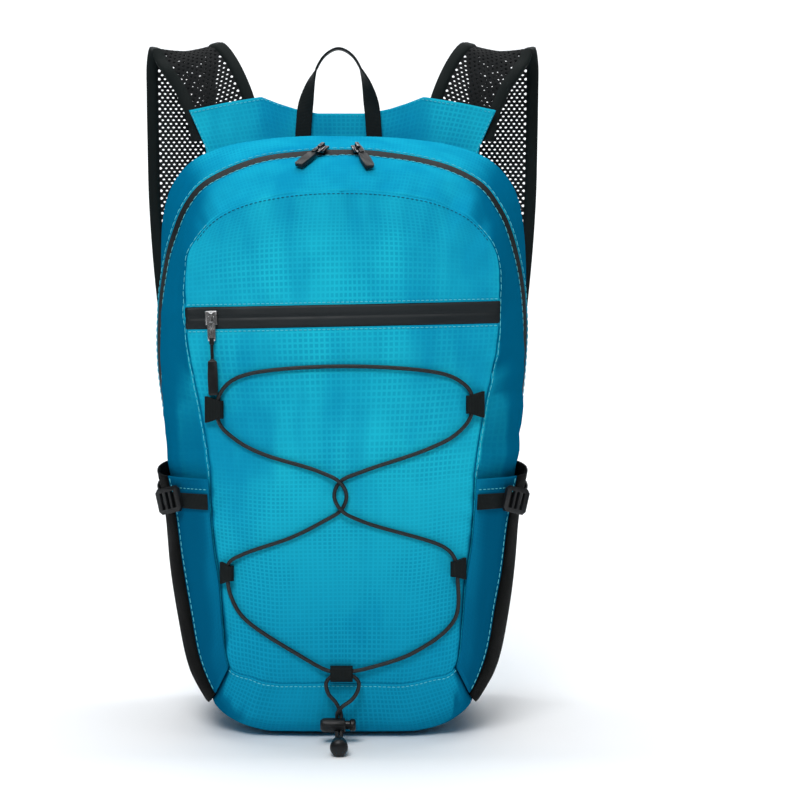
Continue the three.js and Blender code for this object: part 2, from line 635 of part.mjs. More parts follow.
// Yoke outline, right half: out: share of HALF_WIDTH, high: share of BODY_HEIGHT.
const YOKE = [
  { out: 0.700, high: 0.880 },
  { out: 0.765, high: 0.985 },
  { out: 0.855, high: 1.050 },
  { out: 0.660, high: 1.063 },
  { out: 0.452, high: 1.074 },
  { out: 0.360, high: 1.0625 },
  { out: 0.262, high: 1.0525 },
  { out: 0.140, high: 1.0445 },
];
const YOKE_THICK = 2;

function yoke() {
  const right = YOKE.map((row) => new THREE.Vector2(row.out * HALF_WIDTH, row.high * BODY_HEIGHT));
  const left = right.map((p) => new THREE.Vector2(-p.x, p.y)).reverse();
  const plain = { depth: YOKE_THICK, bevelEnabled: false };
  const plate = new THREE.ExtrudeGeometry(new THREE.Shape([...right, ...left]), plain);
  plate.rotateX(Math.PI / 2);
  plate.translate(0, BACK_Y + GAP + YOKE_THICK, 0);
  add('yoke', plate, CLOTH_BLUE);
}

// The handle's arch: out: share of half its span, rise: share of its rise, back: mm towards the back.
const HANDLE_ARCH = [
  { out: 1.00, rise: 0.00, back: 0 },
  { out: 0.97, rise: 0.20, back: 0 },
  { out: 0.90, rise: 0.45, back: 0 },
  { out: 0.70, rise: 0.72, back: -1 },
  { out: 0.38, rise: 0.93, back: -1.5 },
  { out: 0.00, rise: 1.00, back: -1.5 },
];

function grabHandle() {
  const foot = vec(0, BACK_Y - WEB_THICK - 1, BODY_HEIGHT * HANDLE_FOOT);
  const side = (sign) => HANDLE_ARCH.map((row) => vec(
    HANDLE_SHIFT + (sign * row.out * HANDLE_SPAN) / 2, foot.y + row.back, foot.z + row.rise * HANDLE_RISE));
  const curve = smoothCurve([...side(-1), ...side(1).slice(0, -1).reverse()]);
  const acrossAt = (u) => {
    const twist = (Math.PI / 2) * clamp((0.5 - Math.abs(u - 0.5) - 0.16) / 0.2, 0, 1);
    return vec(Math.cos(twist), -Math.sin(twist), 0);
  };
  add('grab_handle', webbing(curve, acrossAt, HANDLE_WEB, WEB_THICK, spread(0, 1, 26)), WEB_BLACK);
}

// Side compression straps

const SIDE_LEVEL = BODY_HEIGHT * 0.39211;        // height of the compression webbing
const BUCKLE_WIDTH = 21;
const BUCKLE_THICK = 2.8;
const BUCKLE_HEIGHT = 18.5;
const BUCKLE_SEAT = 2.9;       // its middle above the webbing, which bends under it
const BUCKLE_PLACE = 4.15;     // where it sits on the pocket's section

// Point on a side pocket at a height, its outward direction, and the way up along the cloth.
function onPocket(place, z, lift) {
  const at = (level) => pocketPoint(levelStation(place, level), place);
  const up = at(z + 4).sub(at(z - 4)).normalize();
  const out = inwards(at(z)).negate();
  out.addScaledVector(up, -out.dot(up)).normalize();
  return { p: at(z).addScaledVector(out, lift), out, up };
}

function compressionStraps() {
  const lift = GAP + 0.6 + WEB_THICK / 2;
  const places = [4.93, ...STRIP_PLACES.slice(1), POCKET_EDGE, ...SIDE_PLACES.slice(0, -1), 1.4];
  const rings = places.map((place) => {
    const { p, out, up } = onPocket(place, SIDE_LEVEL, lift);
    return bandRing(p, up, out, SIDE_WEB, WEB_THICK - 0.3);
  });
  addPair('compression_webbing', sweep(rings), WEB_BLACK);
  const { p, out, up } = onPocket(BUCKLE_PLACE, SIDE_LEVEL, lift + WEB_THICK / 2 + BUCKLE_SEAT);
  const place = new THREE.Matrix4().makeBasis(up, out, up.clone().cross(out));
  place.setPosition(p);
  const slots = [[-6.6, -3.2], [-1.4, 1.4], [3.2, 6.6]];
  const frame = adjuster(BUCKLE_HEIGHT, BUCKLE_WIDTH, BUCKLE_THICK, slots, SIDE_WEB + 1);
  addPair('compression_buckle', frame, PLASTIC, place);
}

// Zip sliders with their pulls

const WIRE = 1.3;              // wire of rings and links
const EYE_ROOM = 0.4;          // clearance of a wire in its eye
const SLIDER_BASE = 1.6;

// Box from a low corner to a high corner.
function block(low, high) {
  const box = new THREE.BoxGeometry(high[0] - low[0], high[1] - low[1], high[2] - low[2]);
  box.translate((low[0] + high[0]) / 2, (low[1] + high[1]) / 2, (low[2] + high[2]) / 2);
  return box;
}

// Each pull is drawn along +X from its slider, with +Z out of the cloth.
// The wire lies level through an eye in the slider and an eye in the pull.
function sliderBody(long, wide) {
  const eye = WIRE / 2 + EYE_ROOM;
  const level = SLIDER_BASE + eye;
  const base = block([-long / 2, -wide / 2, 0], [long / 2, wide / 2, SLIDER_BASE]);
  const bridge = block([-long * 0.34, -1.4, 0.5], [long * 0.34, 1.4, level + eye + 1.1]);
  const hole = block([-eye - 1, -2, level - eye], [eye + 0.4, 2, level + eye]);
  return join(base, cut(bridge, hole));
}

function wireLoop(from, to, wide) {
  const half = wide / 2 - WIRE / 2;
  const level = SLIDER_BASE + WIRE / 2 + EYE_ROOM;
  const turn = Math.min(half, 1.2);
  const points = [];
  const corner = (x, y, start) => {
    for (const k of [0, 1, 2]) {
      const angle = start + (k * Math.PI) / 4;
      points.push(vec(x + turn * Math.cos(angle), y + turn * Math.sin(angle), level));
    }
  };
  corner(to - turn, half - turn, 0);
  corner(from + turn, half - turn, Math.PI / 2);
  corner(from + turn, -half + turn, Math.PI);
  corner(to - turn, -half + turn, (3 * Math.PI) / 2);
  const count = points.length;
  const rings = points.map((p, i) => {
    const way = points[(i + 1) % count].clone().sub(points[(i + count - 1) % count]).normalize();
    const side = way.clone().cross(vec(0, 0, 1));
    return range(6).slice(0, 6).map((u) => p.clone()
      .addScaledVector(side, (Math.cos(u * 2 * Math.PI) * WIRE) / 2)
      .addScaledVector(vec(0, 0, 1), (Math.sin(u * 2 * Math.PI) * WIRE) / 2));
  });
  const faces = [];
  const at = (i, k) => (i % count) * 6 + (k % 6);
  for (let i = 0; i < count; i += 1) {
    for (let k = 0; k < 6; k += 1) {
      faces.push(at(i, k), at(i, k + 1), at(i + 1, k + 1), at(i, k), at(i + 1, k + 1), at(i + 1, k));
    }
  }
  return closedGeometry(rings.flat(), faces);
}

// Moulded pull: an eye round the wire at x = 0, a neck and a tapered body.
function mouldedPull(neck, long, wide, thick, neckWide) {
  const level = SLIDER_BASE + WIRE / 2 + EYE_ROOM;
  const eye = WIRE / 2 + EYE_ROOM;
  const head = cut(
    block([-2.1, -1.5, level - 1.9], [2.6, 1.5, level + 1.9]),
    block([-eye, -2, level - eye], [eye, 2, level + eye]),
  );
  const corners = [[-1, -1], [1, -1], [1, 1], [-1, 1]];
  const row = (x, w, t) => corners.map(([a, b]) => vec(x, (a * w) / 2, level + (b * t) / 2));
  const body = sweep([row(2, neckWide, neckWide * 0.9), row(2 + neck, neckWide, neckWide * 0.9),
    row(3.4 + neck, wide * 0.86, thick * 0.9), row(2 + neck + long * 0.5, wide, thick),
    row(2 + neck + long - 1.2, wide * 0.92, thick), row(2 + neck + long, wide * 0.74, thick * 0.7)]);
  return join(head, body);
}

// Station on the arch at a place across, for one place of the sections.
function archStation(x, place) {
  let [low, high] = [SHOULDER - 1, TOP_STATION];
  for (let i = 0; i < 40; i += 1) {
    const middle = (low + high) / 2;
    if (bodyPoint(middle, place).x > Math.abs(x)) low = middle;
    else high = middle;
  }
  return (x < 0 ? -1 : 1) * low;
}

// Frame with +X from one point to another and +Z out of the cloth.
function lyingFrame(from, to, out, lift) {
  const way = to.clone().sub(from).normalize();
  const up = out.clone().addScaledVector(way, -out.dot(way)).normalize();
  const matrix = new THREE.Matrix4().makeBasis(way, up.clone().cross(way), up);
  matrix.setPosition(from.clone().addScaledVector(up, lift));
  return matrix;
}

// Main pulls: where each slider sits across, and where its pull's far end lies.
const MAIN_PULLS = [
  { tag: 'L', at: -14.5, endAt: -36, endPlace: 4.3 },
  { tag: 'R', at: 10.5, endAt: 21, endPlace: 4.35 },
];
const MAIN_SLIDER = { long: 9, wide: 7.4 };
const MAIN_RING = 8.5;
const PULL_LONG = 20;
const PULL_WIDE = 7.4;
const MAIN_PULL_LIFT = 1.4;    // slider above the cloth

function mainPulls() {
  for (const { tag, at, endAt, endPlace } of MAIN_PULLS) {
    const start = bodyPoint(archStation(at, ZIP_PLACE), ZIP_PLACE);
    const end = bodyPoint(archStation(endAt, endPlace), endPlace);
    const middle = start.clone().lerp(end, 0.5);
    const frame = lyingFrame(start, end, inwards(middle).negate(), MAIN_PULL_LIFT);
    const shift = new THREE.Matrix4().makeTranslation(MAIN_RING, 0, 0);
    add(`main_slider_${tag}`, sliderBody(MAIN_SLIDER.long, MAIN_SLIDER.wide), GUNMETAL, frame);
    add(`main_ring_${tag}`, wireLoop(-WIRE / 2 - 0.1, MAIN_RING, 7), GUNMETAL, frame);
    const pull = mouldedPull(0.5, PULL_LONG, PULL_WIDE, 3, 2.6);
    add(`main_pull_${tag}`, pull, PLASTIC, frame.clone().multiply(shift));
  }
}

const POCKET_SLIDER_X = -91.5;
const POCKET_LINK = BODY_HEIGHT * 0.03712;
const POCKET_NECK = BODY_HEIGHT * 0.02552;
const POCKET_PULL_LONG = BODY_HEIGHT * 0.058;
const POCKET_PULL_LEAN = 0.03;
const POCKET_PULL_LIFT = 0.9;

function pocketPull() {
  const startZ = BAND_LEVEL + BAND_TILT * POCKET_SLIDER_X;
  const start = onFront(POCKET_SLIDER_X, startZ);
  const reach = POCKET_LINK + POCKET_NECK + POCKET_PULL_LONG;
  const end = onFront(POCKET_SLIDER_X + POCKET_PULL_LEAN * reach, startZ - reach);
  const frame = lyingFrame(start, end, vec(0, -1, 0), POCKET_PULL_LIFT);
  const shift = new THREE.Matrix4().makeTranslation(POCKET_LINK, 0, 0);
  add('pocket_slider', sliderBody(10, 8.6), SILVER, frame);
  add('pocket_link', wireLoop(-WIRE / 2 - 0.1, POCKET_LINK, 6), SILVER, frame);
  const hung = frame.clone().multiply(shift);
  add('pocket_pull', mouldedPull(POCKET_NECK, POCKET_PULL_LONG, 7, 5, 2.2), PLASTIC, hung);
}

// Cord loops: out: share of HALF_WIDTH, high: share of BODY_HEIGHT, long: along the cord, deep: across
// the cord, run: which way the cord passes.
const CORD_LOOPS = [
  { tag: 'UL', out: -0.6406, high: 0.5418, long: 17, deep: 15, run: 'up' },
  { tag: 'UR', out: 0.6630, high: 0.5499, long: 17, deep: 15, run: 'up' },
  { tag: 'LL', out: -0.5725, high: 0.2773, long: 14, deep: 13, run: 'up' },
  { tag: 'LR', out: 0.5783, high: 0.2842, long: 14, deep: 13, run: 'up' },
  { tag: 'B', out: -0.0051, high: 0.1142, long: 14.5, deep: 11.7, run: 'across' },
];
const LOOP_THICK = CORD + 2 * LOOP_ROOM + 2 * LOOP_WEB;
const LOOP_SEAT = 0.15;        // more room under a loop, where the front is crowned
const CORD_LIFT = CORD / 2 + CORD_REST;
const LOOP_LIFT = GAP + LOOP_THICK / 2 - CORD_LIFT;

// Rounded outline with its long side along X.
function stadium(long, thick, Kind) {
  const [half, r] = [long / 2 - thick / 2, thick / 2];
  const path = new Kind();
  path.moveTo(-half, -r).lineTo(half, -r);
  path.absarc(half, 0, r, -Math.PI / 2, Math.PI / 2, false);
  path.lineTo(-half, r);
  path.absarc(-half, 0, r, Math.PI / 2, (3 * Math.PI) / 2, false);
  return path;
}

function cordLoops() {
  for (const { tag, out: share, high, long, deep, run } of CORD_LOOPS) {
    const [x, z] = [share * HALF_WIDTH, high * BODY_HEIGHT];
    const shape = stadium(deep, LOOP_THICK, THREE.Shape);
    shape.holes.push(stadium(deep - 2 * LOOP_WEB, LOOP_THICK - 2 * LOOP_WEB, THREE.Path));
    const loop = new THREE.ExtrudeGeometry(shape, { depth: long, bevelEnabled: false, curveSegments: 3 });
    loop.translate(0, 0, -long / 2);
    if (run === 'across') loop.rotateY(Math.PI / 2);
    const middle = onFront(x, z);
    const rise = onFront(x, z + long / 2).sub(onFront(x, z - long / 2)).normalize();
    const across = onFront(x + deep / 2, z).sub(onFront(x - deep / 2, z)).normalize();
    const out = across.clone().cross(rise).normalize();
    across.copy(rise).cross(out);
    const frame = new THREE.Matrix4().makeBasis(across, out.clone().negate(), rise);
    frame.setPosition(middle.addScaledVector(out, GAP + LOOP_THICK / 2 + LOOP_SEAT));
    add(`cord_loop_${tag}`, loop, WEB_BLACK, frame);
  }
}

// Elastic cord

// The lacing's route, chosen by hand: x, z on the front, and lift off the cloth. It runs from the
// bottom loop up the left side, hooks round itself in the middle, crosses at the top and comes back
// by the right side. Where it passes over itself it lifts by a diameter.
const OVER = CORD + 0.4;
const LACING = [
  [-0.15, 50.6, LOOP_LIFT], [-9, 50.7, LOOP_LIFT], [-31.5, 62.6, 0], [-69.5, 88.9, 0], [-77.4, 102, 0],
  [-79.8, 112, LOOP_LIFT], [-79.4, 126.5, LOOP_LIFT], [-70.5, 132.4, 0.4], [-34.9, 145.5, 0], [-13.5, 156.4, 0],
  [-0.8, 164.6, 0], [2.8, 174.5, 0.6], [-1.7, 184, OVER], [-16.9, 191.4, 0.6], [-57, 203.6, 0],
  [-74, 212.5, 0.3], [-85.9, 224.5, LOOP_LIFT], [-86.6, 241, LOOP_LIFT], [-80, 251.5, 0.4], [-66, 258.3, 0],
  [0, 264, 0], [69, 258.8, 0], [83, 252.6, 0.4], [89.6, 245, LOOP_LIFT], [89.4, 229, LOOP_LIFT],
  [78.5, 216, 0.3], [59.1, 206.3, 0], [14, 191.2, 0], [-1.7, 184, 0], [-5.8, 174.5, 0.6],
  [-0.8, 164.6, OVER], [13.5, 156.7, 0.6], [71, 137.8, 0.3], [78.2, 130, LOOP_LIFT], [80.3, 116, LOOP_LIFT],
  [78.5, 87.2, 0], [50.1, 63.9, 0], [19.3, 53, 0.6], [8, 50.7, LOOP_LIFT], [0.15, 50.6, LOOP_LIFT],
];

// The free strands: x, distance in front of the bottom loop's middle, z. They cross below the loop,
// pass side by side through the cord lock and turn forward along the surface to the cord end.
const LOCK_AT = [-2.4, 4.6, 13.5];
const LOCK_LEAN = Math.PI / 6;
const STRAND_HALF = CORD / 2 + 0.1;
const END_AT = 25;
const END_SEAT = 0.15;         // more room between the cord's end and the floor
const END_LEVEL = 5.5;
const TAILS = {
  L: [[-0.15, 0, 47.5], [-6.5, 0, 47.4], [-11.3, 0.3, 42.7], [-10, 0.6, 35], [-5, 0.6, 29], [-1.5, 0.9, 22.5]],
  R: [[0.15, 0, 47.5], [6.5, 0, 47.4], [11.3, 0.5, 42.9], [10.4, 1.4, 36.5], [6.5, 3, 31], [0, 4.6, 26.5],
    [-3.4, 3.6, 22]],
};
const TAIL_FLOOR = [[11, 5.6], [17, 4.2], [22, 4.9], [END_AT, END_LEVEL]];
const LACING_STEPS = 66;
const TAIL_STEPS = 20;

function tube(points, steps) {
  const round = new THREE.Shape(spread(0, 1, 8).slice(0, 8).map((u) => (
    new THREE.Vector2(Math.cos(u * 2 * Math.PI), Math.sin(u * 2 * Math.PI)).multiplyScalar(CORD / 2))));
  return new THREE.ExtrudeGeometry(round, { extrudePath: smoothCurve(points), steps, bevelEnabled: false });
}

const bottomLoop = CORD_LOOPS[CORD_LOOPS.length - 1];
const loopLine = frontY(0, bottomLoop.high * BODY_HEIGHT) - CORD_LIFT - LOOP_LIFT;

// A place on the strands' path, from its distance in front of the loop's middle.
const ahead = (x, forward, z) => vec(x, loopLine - forward, z);

function cords() {
  const route = smoothCurve(LACING.map(([x, z, lift]) => vec(x, lift, z)));
  const laid = (p) => vec(p.x, frontY(p.x, p.z) - CORD_LIFT - p.y, p.z);
  const lacing = route.getSpacedPoints(2 * LACING_STEPS).map(laid);
  add('cord_lacing', tube(lacing, LACING_STEPS), WEB_BLACK);
  for (const [tag, side] of [['L', 1], ['R', -1]]) {
    const x = LOCK_AT[0] + side * STRAND_HALF;
    const [lean, rise] = [Math.sin(LOCK_LEAN), Math.cos(LOCK_LEAN)];
    const inLock = [-5.5, 0, 5.5].map((u) => [x, LOCK_AT[1] + u * lean, LOCK_AT[2] - u * rise]);
    const onFloor = TAIL_FLOOR.map(([forward, z]) => [x, forward, z]);
    const points = [...TAILS[tag], ...inLock, ...onFloor].map((p) => ahead(...p));
    add(`cord_tail_${tag}`, tube(points, TAIL_STEPS), WEB_BLACK);
  }
}

// Cord lock: a barrel across the strands with a sprung plunger in its right end.
const BARREL = { from: -13.1, to: 4.4, wide: 9.9, bore: 7 };
const STEM = 6.4;
const TRAVEL = 3;
const BUTTON = { long: 4, wide: 8.8 };
const STRAND_ROOM = 0.35;

// Round body along X through rows of [x, radius].
function turned(rows, sides) {
  const closed = [[rows[0][0], 0], ...rows, [rows[rows.length - 1][0], 0]];
  const profile = closed.map(([x, r]) => new THREE.Vector2(r, x));
  const body = new THREE.LatheGeometry(profile, sides);
  return closedGeometryOf(body.rotateZ(-Math.PI / 2));
}

// Merges a geometry's shared corners and turns its faces out.
function closedGeometryOf(geometry) {
  geometry.deleteAttribute('normal');
  geometry.deleteAttribute('uv');
  const merged = mergeVertices(geometry, 1e-4);
  const at = merged.attributes.position;
  const points = range(at.count - 1).map((_, i) => vec(at.getX(i), at.getY(i), at.getZ(i)));
  const kept = [];
  for (let k = 0; k < merged.index.count; k += 3) {
    const [a, b, c] = [0, 1, 2].map((n) => merged.index.getX(k + n));
    if (a !== b && b !== c && c !== a) kept.push(a, b, c);
  }
  return closedGeometry(points, kept);
}

function cordLock() {
  const { from, to, wide, bore } = BARREL;
  const half = 2 * STRAND_HALF - 0.2 + STRAND_ROOM;
  const high = CORD / 2 + STRAND_ROOM;
  const r = wide / 2;
  const rows = [[from, r * 0.62], [from + 1.6, r * 0.93], [from + 3.6, r], [to - 0.6, r], [to, r * 0.9]];
  const barrel = turned(rows, 14);
  const inside = turned([[from + 4.5, bore / 2], [to + 1, bore / 2]], 14);
  const opening = block([-half, -wide, -high], [half, wide, high]);
  const way = new THREE.Matrix4().makeBasis(
    vec(1, 0, 0),
    vec(0, -Math.sin(LOCK_LEAN), -Math.cos(LOCK_LEAN)),
    vec(0, Math.cos(LOCK_LEAN), -Math.sin(LOCK_LEAN)),
  );
  way.setPosition(ahead(...LOCK_AT));
  add('cord_lock_barrel', cut(barrel, inside, opening), PLASTIC, way);
  const button = to + TRAVEL + GAP;
  const stem = turned([[-half - 1.6, STEM / 2], [button + 0.5, STEM / 2]], 14);
  const cap = turned([[button, BUTTON.wide * 0.46], [button + 0.8, BUTTON.wide / 2],
    [button + BUTTON.long - 1.2, BUTTON.wide / 2], [button + BUTTON.long, BUTTON.wide * 0.4]], 14);
  const slot = block([-half, -STEM, -high], [half + TRAVEL, STEM, high]);
  add('cord_lock_plunger', cut(join(stem, cap), slot), PLASTIC, way);
}

const END_PIECE = { long: 18.7, narrow: 5.3, wide: 6.25 };

function cordEnd() {
  const { long, narrow, wide } = END_PIECE;
  const rows = [[0, narrow * 0.92], [0.7, narrow], [long * 0.6, wide * 0.97], [long * 0.8, wide],
    [long * 0.93, wide * 0.84], [long, wide * 0.45]];
  const piece = turned(rows, 12);
  const tilt = Math.atan2(wide - narrow, long * 0.8);
  const way = new THREE.Matrix4().makeBasis(
    vec(0, -Math.cos(tilt), Math.sin(tilt)),
    vec(1, 0, 0),
    vec(0, Math.sin(tilt), Math.cos(tilt)),
  );
  way.setPosition(ahead(LOCK_AT[0], END_AT + GAP, narrow + END_SEAT));
  add('cord_end', piece, PLASTIC, way);
}

backPanel();
rearGusset();
mainZip();
frontRing();
pocketUpper();
pocketZipBand();
pocketLower();
basePanel();
yoke();
grabHandle();
sidePockets();
shoulderStraps();
strapEnds();
compressionStraps();

mainPulls();
pocketPull();
cordLoops();
cords();
cordLock();
cordEnd();

export default backpack;
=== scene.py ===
# %% [markdown]
# # A packable backpack in thin ripstop cloth
# A light day pack of this kind is a few panels of coated ripstop sewn edge to edge, so it has almost
# no stiffness of its own and keeps its form from what is inside. This lesson dresses the measured
# solids of such a pack: the solids give the sizes, and each soft piece is made again here as cloth.

# %% Load the frame
import functools
import math

import bmesh
import bpy
from mathutils import Matrix, Vector, noise
from mathutils.kdtree import KDTree


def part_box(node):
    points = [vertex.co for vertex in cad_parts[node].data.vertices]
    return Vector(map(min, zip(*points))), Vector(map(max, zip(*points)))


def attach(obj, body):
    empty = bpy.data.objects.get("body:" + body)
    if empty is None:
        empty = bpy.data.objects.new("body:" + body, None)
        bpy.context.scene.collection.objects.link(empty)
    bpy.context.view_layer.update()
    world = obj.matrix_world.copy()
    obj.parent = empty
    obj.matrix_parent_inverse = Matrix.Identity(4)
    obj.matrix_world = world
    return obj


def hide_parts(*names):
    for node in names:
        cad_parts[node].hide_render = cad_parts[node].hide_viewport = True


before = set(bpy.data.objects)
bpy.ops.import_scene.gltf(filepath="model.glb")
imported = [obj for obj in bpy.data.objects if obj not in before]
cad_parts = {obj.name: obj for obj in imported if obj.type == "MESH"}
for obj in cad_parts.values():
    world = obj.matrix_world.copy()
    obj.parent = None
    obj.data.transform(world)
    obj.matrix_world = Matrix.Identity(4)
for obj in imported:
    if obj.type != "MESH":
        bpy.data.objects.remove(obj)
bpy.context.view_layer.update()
BAG = "bag"
PLUNGER = "plunger"
MM = 0.001
print("solids:", len(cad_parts))

# %% [markdown]
# ## Camera
# The photograph was taken from in front, slightly above the middle of the bag, with a longish lens.
# The bag stands left of the picture's middle, so the camera looks straight ahead and its picture is
# shifted: turning the camera instead would show more of one side than the photograph does.

# %% Camera
CAMERA_AWAY = 1.450
CAMERA_HIGH = 0.335
LOOK_DOWN = math.radians(3.96)
LENS = 88.6
SENSOR = 36
SIDE_SHIFT = 0.0719

camera_data = bpy.data.cameras.new("camera")
camera_data.lens = LENS
camera_data.sensor_width = SENSOR
camera_data.shift_x = SIDE_SHIFT
camera = bpy.data.objects.new("camera", camera_data)
camera.location = (0, -CAMERA_AWAY, CAMERA_HIGH)
camera.rotation_euler = (math.pi / 2 - LOOK_DOWN, 0, 0)
bpy.context.scene.collection.objects.link(camera)
bpy.context.scene.camera = camera

# %% [markdown]
# ## The measured form
# Every panel lies on one surface. It is described by stations up the side of the bag and, at each
# station, by the places that a section passes: back edge, main zip, front ring, front seam. A value
# between two rows comes from a smooth curve through the rows around it.

# %% Sizes and stations, in millimetres
BODY_WIDTH = 276
BODY_HEIGHT = 431
BODY_DEPTH = 164
BACK_SHARE = 0.44
FRONT_CROWN = 10
HALF_WIDTH = BODY_WIDTH / 2
MID_HEIGHT = BODY_HEIGHT / 2
BACK_Y = BODY_DEPTH * BACK_SHARE

# columns: wide, high, zip in, zip deep, ring in, ring deep, seam in
WIDE, HIGH, ZIP_IN, ZIP_DEEP, RING_IN, RING_DEEP, SEAM_IN = range(7)
STATIONS = [
    (0.00, 0.000, 1.00, -0.27, 0.960, -0.475, 0.810),
    (0.20, 0.000, 1.00, -0.27, 0.960, -0.472, 0.812),
    (0.38, 0.000, 1.00, -0.26, 0.960, -0.465, 0.814),
    (0.56, 0.014, 1.00, -0.24, 0.955, -0.450, 0.816),
    (0.69, 0.045, 1.00, -0.20, 0.945, -0.430, 0.832),
    (0.77, 0.110, 1.00, -0.12, 0.940, -0.400, 0.787),
    (0.81, 0.190, 1.00, -0.06, 0.940, -0.370, 0.768),
    (0.845, 0.270, 1.00, -0.02, 0.942, -0.350, 0.770),
    (0.875, 0.350, 1.00, 0.02, 0.944, -0.335, 0.762),
    (0.930, 0.434, 1.00, 0.04, 0.945, -0.320, 0.728),
    (0.968, 0.560, 1.00, 0.03, 0.945, -0.300, 0.748),
    (0.992, 0.680, 0.985, 0.00, 0.935, -0.270, 0.792),
    (1.000, 0.775, 0.945, -0.06, 0.895, -0.255, 0.802),
    (0.985, 0.855, 0.905, -0.12, 0.865, -0.255, 0.806),
    (0.933, 0.912, 0.893, -0.14, 0.850, -0.265, 0.785),
    (0.820, 0.957, 0.895, -0.14, 0.848, -0.265, 0.775),
    (0.640, 0.982, 0.905, -0.13, 0.855, -0.265, 0.778),
    (0.420, 0.994, 0.920, -0.12, 0.866, -0.260, 0.784),
    (0.200, 0.999, 0.928, -0.12, 0.872, -0.260, 0.789),
    (0.000, 1.000, 0.931, -0.12, 0.874, -0.260, 0.790),
]
FRONT_EDGE = [(0.00, 0.500), (0.11, 0.515), (0.25, 0.510), (0.45, 0.485),
              (0.65, 0.450), (0.80, 0.410), (0.90, 0.370), (1.00, 0.330)]
REAR = [(0.930, 1.00), (0.982, 0.90), (1.000, 0.58)]
POCKET_ROOM = [(0.020, 0.004), (0.050, 0.012), (0.100, 0.045),
               (0.180, 0.060), (0.300, 0.062), (0.413, 0.049)]
TOP = len(STATIONS) - 1
BASE_CORNER = 4.0
SIDE_START = BASE_CORNER + 0.03
ZIP_END = 9
SHOULDER = 14.5
ZIP_PLACE = 3
SEAM_PLACE = 5

# %% Reading the tables
def clamp(value, low, high):
    return min(high, max(low, value))


def mix(a, b, share):
    return a + (b - a) * share


def shares(count):
    return [i / count for i in range(count + 1)]


def bell(distance, reach):
    """1 at no distance, fading out beyond the reach."""
    return math.exp(-((distance / reach) ** 2))


def smooth_value(rows, column, at):
    last = len(rows) - 1
    i = clamp(math.floor(at), 0, last - 1)
    t = at - i
    a, b, c, d = (rows[clamp(k, 0, last)][column] for k in (i - 1, i, i + 1, i + 2))
    return b + 0.5 * t * (c - a + t * (2 * a - 5 * b + 4 * c - d + t * (3 * (b - c) + d - a)))


def table_value(rows, wanted):
    if wanted <= rows[0][0]:
        return rows[0][1]
    if wanted >= rows[-1][0]:
        return rows[-1][1]
    i = next(k for k, row in enumerate(rows) if row[0] > wanted) - 1
    t = (wanted - rows[i][0]) / (rows[i + 1][0] - rows[i][0])
    return smooth_value(rows, 1, i + t)


def seam_depth(z):
    return -BODY_DEPTH * table_value(FRONT_EDGE, z / BODY_HEIGHT)


def outline_point(station, into):
    at = abs(station)
    side = (station > 0) - (station < 0)
    x = side * HALF_WIDTH * max(0, smooth_value(STATIONS, WIDE, at))
    z = BODY_HEIGHT * clamp(smooth_value(STATIONS, HIGH, at), 0, 1)
    return x * into, MID_HEIGHT + (z - MID_HEIGHT) * into


@functools.lru_cache(maxsize=None)
def section(at):
    seam_in = smooth_value(STATIONS, SEAM_IN, at)
    seam_z = outline_point(at, seam_in)[1]
    return [
        *((into, back * BACK_Y) for into, back in REAR),
        (min(1, smooth_value(STATIONS, ZIP_IN, at)), BODY_DEPTH * smooth_value(STATIONS, ZIP_DEEP, at)),
        (smooth_value(STATIONS, RING_IN, at), BODY_DEPTH * smooth_value(STATIONS, RING_DEEP, at)),
        (seam_in, seam_depth(seam_z)),
    ]


def body_point(station, place):
    rows = section(abs(station))
    x, z = outline_point(station, min(1, smooth_value(rows, 0, place)))
    return Vector((x, smooth_value(rows, 1, place), z))


def outwards(p):
    def cube(value, half):
        return (value / half) ** 3 / half
    y = cube(p.y, BACK_Y) if p.y > 0 else cube(p.y, BODY_DEPTH / 2)
    return Vector((cube(p.x, HALF_WIDTH), y, cube(p.z - MID_HEIGHT, MID_HEIGHT))).normalized()


SEAM_RAYS = []
for share in shares(240):  # rays from the middle of the front
    station = mix(-TOP, TOP, share)
    x, z = outline_point(station, smooth_value(STATIONS, SEAM_IN, abs(station)))
    SEAM_RAYS.append((math.atan2(x, MID_HEIGHT - z), math.hypot(x, z - MID_HEIGHT)))


def seam_share(x, z):
    turn = math.atan2(x, MID_HEIGHT - z)
    above = next((k for k, ray in enumerate(SEAM_RAYS) if ray[0] > turn), -1)
    i = clamp(above, 1, len(SEAM_RAYS) - 1)
    (turn_a, reach_a), (turn_b, reach_b) = SEAM_RAYS[i - 1], SEAM_RAYS[i]
    t = clamp((turn - turn_a) / ((turn_b - turn_a) or 1), 0, 1)
    return min(1, math.hypot(x, z - MID_HEIGHT) / mix(reach_a, reach_b, t))


def front_y(x, z):
    share = seam_share(x, z)
    return seam_depth(z) - FRONT_CROWN * (1 - share * share)


def on_front(x, z):
    return Vector((x, front_y(x, z), z))


print("body top at", round(body_point(TOP, ZIP_PLACE).z, 1), "mm;",
      "front middle at", round(front_y(0, MID_HEIGHT), 1), "mm")
